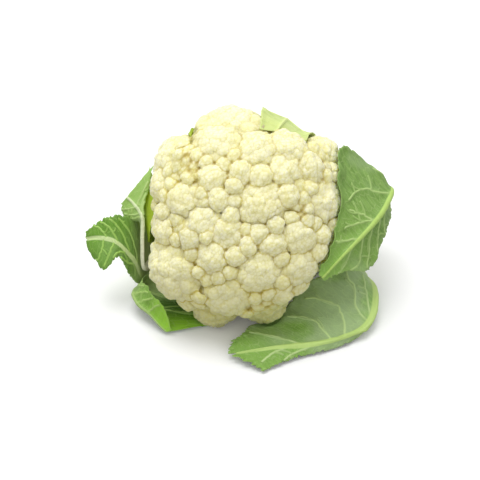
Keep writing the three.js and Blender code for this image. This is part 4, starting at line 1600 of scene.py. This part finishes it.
# %% Leaves
def leaf_finish(name, upper, under, bloom, vein, rib, stem, tip, bloom_amount, stem_end=0.42):
    made, tree, sockets = material(name, Specular_IOR_Level=0.35)
    place = object_place(tree)
    is_under, edge, share = measures_of(tree, "under", "edge", "share")
    along, across, on_vein, on_rib = measures_of(tree, "along", "across", "vein", "rib")

    def net(along_scale, across_scale, width):
        """Lines between the cells of a Voronoi pattern on the blade, this many cells per mm."""
        cells = {"X": along * along_scale, "Y": across * across_scale}
        pattern = {"voronoi_dimensions": "2D", "feature": "DISTANCE_TO_EDGE"}
        flat = tree.node("ShaderNodeCombineXYZ", {}, cells)
        gap = tree.node("ShaderNodeTexVoronoi", pattern, {"Vector": flat, "Scale": 1.0})
        return 1 - gap.step(0.0, width)

    lines, fine_lines = net(0.26, 0.10, 0.09), net(0.7, 0.55, 0.16)
    streaks = tree.node("ShaderNodeCombineXYZ", {}, {"X": along * 0.42, "Y": across * 0.05})
    streaks = noise(tree, streaks, 1.0, 2.0)
    cloudy = noise(tree, place, 32.0)
    mottle = noise(tree, place, 160.0)
    near_tip = share.step(0.55, 0.95) * (0.45 + cloudy * 0.9).clamped()
    waxy = noise(tree, place, 19.0).step(0.45, 0.62) * (1 - share.step(0.75, 0.95))
    blade = mixed(tree, is_under.step(0.4, 0.6), upper, under)
    darker = mixed(tree, 1.0, blade, (0.48, 0.58, 0.34), blend="MULTIPLY")
    layers = [
        (mottle.step(0.35, 0.75) * 0.5, darker),
        (streaks.step(0.4, 0.7) * 0.55, darker),
        (near_tip * 0.85, tip),
        (waxy * bloom_amount, bloom),
    ]
    blade = layered(tree, blade, layers)
    layers = [
        ((lines * 0.6 + fine_lines * 0.3).clamped(), mixed(tree, 0.5, blade, vein)),
        ((1 - edge.step(0.0, 1.1)) * 0.4, vein),
        # beside a vein, and then the vein itself
        (on_vein.step(0.1, 0.8) * 0.55, vein),
        (on_vein.step(0.97, 1.0) * 0.9, vein),
        (on_rib.step(0.35, 0.75), rib),
        ((1 - share.step(stem_end - 0.3, stem_end)) * 0.9, stem),
    ]
    fine = noise(tree, place, 900.0, 2.0)
    relief = lines * 0.5 + fine_lines * 0.25 + streaks * 0.9 + fine * 0.2
    colour = layered(tree, blade, layers)
    finish(tree, sockets, colour, 0.42 + mottle * 0.2, relief, 0.0005, 0.7)
    return made


# %% [markdown]
# ## The finish of the stalk and the stumps
# Bare stem is pale green going to white, with fine fibres that run along it. The cut face has
# dried: a woody ring near the rim, a spongy pith inside it and a few tan stains.

# %% Stems
def stem_finish():
    made, tree, sockets = material(
        "pale stem",
        Subsurface_Weight=0.1,
        Subsurface_Radius=(1.0, 0.9, 0.4),
        Subsurface_Scale=0.003,
        Specular_IOR_Level=0.35,
    )
    place = object_place(tree)
    along_stalk = {"Vector": place, "Rotation": (-LEAN, 0, 0), "Scale": (1, 1, 0.08)}
    fibres = noise(tree, tree.node("ShaderNodeMapping", {}, along_stalk), 420.0)
    cloudy = noise(tree, place, 30.0)
    spongy = noise(tree, place, 260.0)
    cut, radius = measures_of(tree, "cut", "radius")
    ring = radius.step(15.5, 17.0) * (1 - radius.step(19.5, 21.5))
    pith = [(spongy.step(0.4, 0.7) * 0.5, (0.66, 0.60, 0.36)), (ring * 0.7, (0.60, 0.52, 0.28))]
    layers = [
        (cloudy.step(0.35, 0.7), (0.50, 0.62, 0.26)),
        (fibres.step(0.45, 0.7) * 0.4, (0.84, 0.86, 0.66)),
        (cut, layered(tree, (0.80, 0.78, 0.56), pith)),
    ]
    colour = layered(tree, (0.70, 0.74, 0.44), layers)
    finish(tree, sockets, colour, 0.5 + fibres * 0.2, fibres, 0.0004, 0.6)
    return made


GROWN_LEAF = {
    "upper": (0.17, 0.33, 0.045),
    "under": (0.21, 0.365, 0.075),
    "bloom": (0.31, 0.43, 0.2),
    "vein": (0.42, 0.58, 0.2),
    "rib": (0.45, 0.64, 0.15),
    "stem": (0.6, 0.7, 0.34),
    "tip": (0.285, 0.51, 0.085),
    "bloom_amount": 0.55,
}
YOUNG_LEAF = {
    "upper": (0.6, 0.73, 0.23),
    "under": (0.64, 0.75, 0.3),
    "bloom": (0.76, 0.8, 0.48),
    "vein": (0.7, 0.79, 0.33),
    "rib": (0.69, 0.78, 0.31),
    "stem": (0.74, 0.79, 0.48),
    "tip": (0.68, 0.78, 0.26),
    "bloom_amount": 0.4,
}
finishes = {
    "curd": curd_finish(),
    "leaf": leaf_finish("grown leaf", **GROWN_LEAF),
    "inner_leaf": leaf_finish("young leaf", **YOUNG_LEAF),
    "stem": stem_finish(),
}
SPECIAL_LEAVES = {
    "leaf_front": {
        **GROWN_LEAF,
        "under": (0.29, 0.51, 0.105),
        "bloom": (0.42, 0.51, 0.32),
        "vein": (0.5, 0.66, 0.27),
        "rib": (0.54, 0.73, 0.22),
        "tip": (0.215, 0.41, 0.06),
    },
    # the upper face of a leaf that had the sun: deeper green, with no bloom
    "leaf_left": {
        **GROWN_LEAF,
        "upper": (0.13, 0.305, 0.022),
        "under": (0.18, 0.345, 0.042),
        "vein": (0.33, 0.54, 0.11),
        "rib": (0.6, 0.74, 0.33),
        "tip": (0.15, 0.325, 0.028),
        "bloom_amount": 0.25,
        "stem_end": 0.65,
    },
    # its upper face is painted near-black green as the shade it lies in against the curd, and its tip
    # is painted the lit green of that same face
    "leaf_lower_left": {
        **GROWN_LEAF,
        "upper": (0.07, 0.19, 0.008),
        "under": (0.235, 0.42, 0.075),
        "bloom": (0.44, 0.58, 0.26),
        "vein": (0.4, 0.59, 0.16),
        "rib": (0.4, 0.57, 0.18),
        "tip": (0.36, 0.74, 0.03),
        "stem": (0.52, 0.68, 0.27),
        "stem_end": 0.58,
    },
    # it grew in the half dark beside the curd: a white stem and a yellow upper face
    "leaf_upper_left": {
        **GROWN_LEAF,
        "upper": (0.33, 0.47, 0.015),
        "under": (0.36, 0.5, 0.18),
        "bloom": (0.56, 0.66, 0.35),
        "rib": (0.64, 0.74, 0.42),
        "stem": (0.94, 0.92, 0.7),
        "stem_end": 0.72,
    },
    "inner_leaf_left": {
        **YOUNG_LEAF,
        "upper": (0.33, 0.48, 0.03),
        "under": (0.33, 0.48, 0.03),
        "bloom": (0.42, 0.56, 0.04),
        "vein": (0.46, 0.6, 0.06),
        "rib": (0.46, 0.6, 0.06),
        "tip": (0.4, 0.54, 0.01),
        "stem_end": 0.3,
    },
}
SPECIAL_LEAVES["inner_leaf_crown"] = SPECIAL_LEAVES["inner_leaf_left"]
leaf_finishes = {}
for name, kind in SPECIAL_LEAVES.items():
    leaf_finishes[name] = leaf_finish(name + " green", **kind)
print("finishes:", ", ".join(made.name for made in [*finishes.values(), *leaf_finishes.values()]))

# %% [markdown]
# ## Join the pieces to the frame
# Every fine piece now rides on the head, hides the plain CAD solid that it stands for and takes
# its finish. The three parts of the curd all stand for the one CAD curd.

# %% Register the pieces
for thing in curd_pieces:
    register(thing, "curd", finishes["curd"])
for name, leaf in leaves.items():
    slot = "inner_leaf" if name.startswith("inner") else "leaf"
    register(leaf, name, leaf_finishes.get(name, finishes[slot]))
for name, stump in stumps.items():
    register(stump, name, finishes["stem"])
register(stalk, "stalk", finishes["stem"])

# %% [markdown]
# ## Floor, light and camera
# The head lies on a plain white floor under one broad soft light overhead, with pale light from
# all round, so its only shadow is a soft one close about it. The camera looks straight down the
# stalk's axis from a metre away, 40 degrees above the table.

# %% Set the stage
FLOOR = {
    "half_size": 6.0,  # metres
    "seen": 0.97, "glow": 0.04,  # how white it is, and how much it glows, for the camera
    "reflected": 0.45,  # how white it is for light on its way to the head
}  # fmt: skip
half = FLOOR["half_size"]
corners = [(-half, -half, 0), (half, -half, 0), (half, half, 0), (-half, half, 0)]
floor = mesh_object("floor", corners, [(0, 1, 2, 3)])
paper, tree, sockets = material(
    "white floor", Roughness=0.9, Specular_IOR_Level=0.0, Emission_Strength=1.0
)
seen = tree.node("ShaderNodeLightPath", output="Is Camera Ray")
for label, unseen, level in (
    ("Emission Color", 0.0, FLOOR["glow"]),
    ("Base Color", FLOOR["reflected"], FLOOR["seen"]),
):
    tree.feed(sockets[label], mixed(tree, seen, (unseen,) * 3, (level,) * 3))
floor.data.materials.append(paper)
floor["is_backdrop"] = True

# The room is plain white to look at, and lights the head a little less than that.
ROOM_LIGHT = 0.8
world = bpy.data.worlds.new("pale room")
world.use_nodes = True
world.node_tree.nodes.clear()
tree = Tree(world.node_tree)
looked_at = 0.0
for ray in ("Is Camera Ray", "Is Glossy Ray", "Is Transmission Ray"):
    looked_at = tree.node("ShaderNodeLightPath", output=ray).most(looked_at)
strength = looked_at * (1 - ROOM_LIGHT) + ROOM_LIGHT
glow = tree.node("ShaderNodeBackground", {}, {"Color": (1, 1, 1, 1), "Strength": strength})
tree.node("ShaderNodeOutputWorld", {}, {"Surface": glow})
bpy.context.scene.world = world

LIGHT = {"place": (-0.2, 0.2, 1.3), "aim": (0, 0, 0.07), "size": 1.0, "watts": 10.0}
lamp = bpy.data.lights.new("overhead", "AREA")
lamp.shape, lamp.size, lamp.energy = "DISK", LIGHT["size"], LIGHT["watts"]
overhead = bpy.data.objects.new("overhead", lamp)
overhead.location = LIGHT["place"]
direction = Vector(LIGHT["aim"]) - Vector(LIGHT["place"])
overhead.rotation_euler = direction.to_track_quat("-Z", "Y").to_euler()
bpy.context.scene.collection.objects.link(overhead)

CAMERA = {"place": (-3.85, -19.25, 1100), "lens": 107.14, "sensor": 36, "clip": (0.05, 20)}
lens = bpy.data.cameras.new("camera")
lens.lens, lens.sensor_width = CAMERA["lens"], CAMERA["sensor"]
lens.clip_start, lens.clip_end = CAMERA["clip"]
camera = bpy.data.objects.new("camera", lens)
camera.location = to_table(CAMERA["place"])
camera.rotation_euler = (LEAN, 0, 0)
bpy.context.scene.collection.objects.link(camera)
bpy.context.scene.camera = camera
bpy.context.scene.view_settings.view_transform = "Standard"
print("camera at, in m:", [round(value, 3) for value in camera.location])

# %% [markdown]
# ## The size
# The fine pieces together are as large as the CAD model. They pass its box by 3 mm at the
# topmost floret and by 1 mm at the back. Both boxes are printed.

# %% Measure and finish
visual_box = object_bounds()
boxes = {"cad": cad_box, "visual": visual_box}
for key, box in boxes.items():
    print(key, "box in mm:", [np.round(np.array(corner) * MM_PER_METRE, 1).tolist() for corner in box])
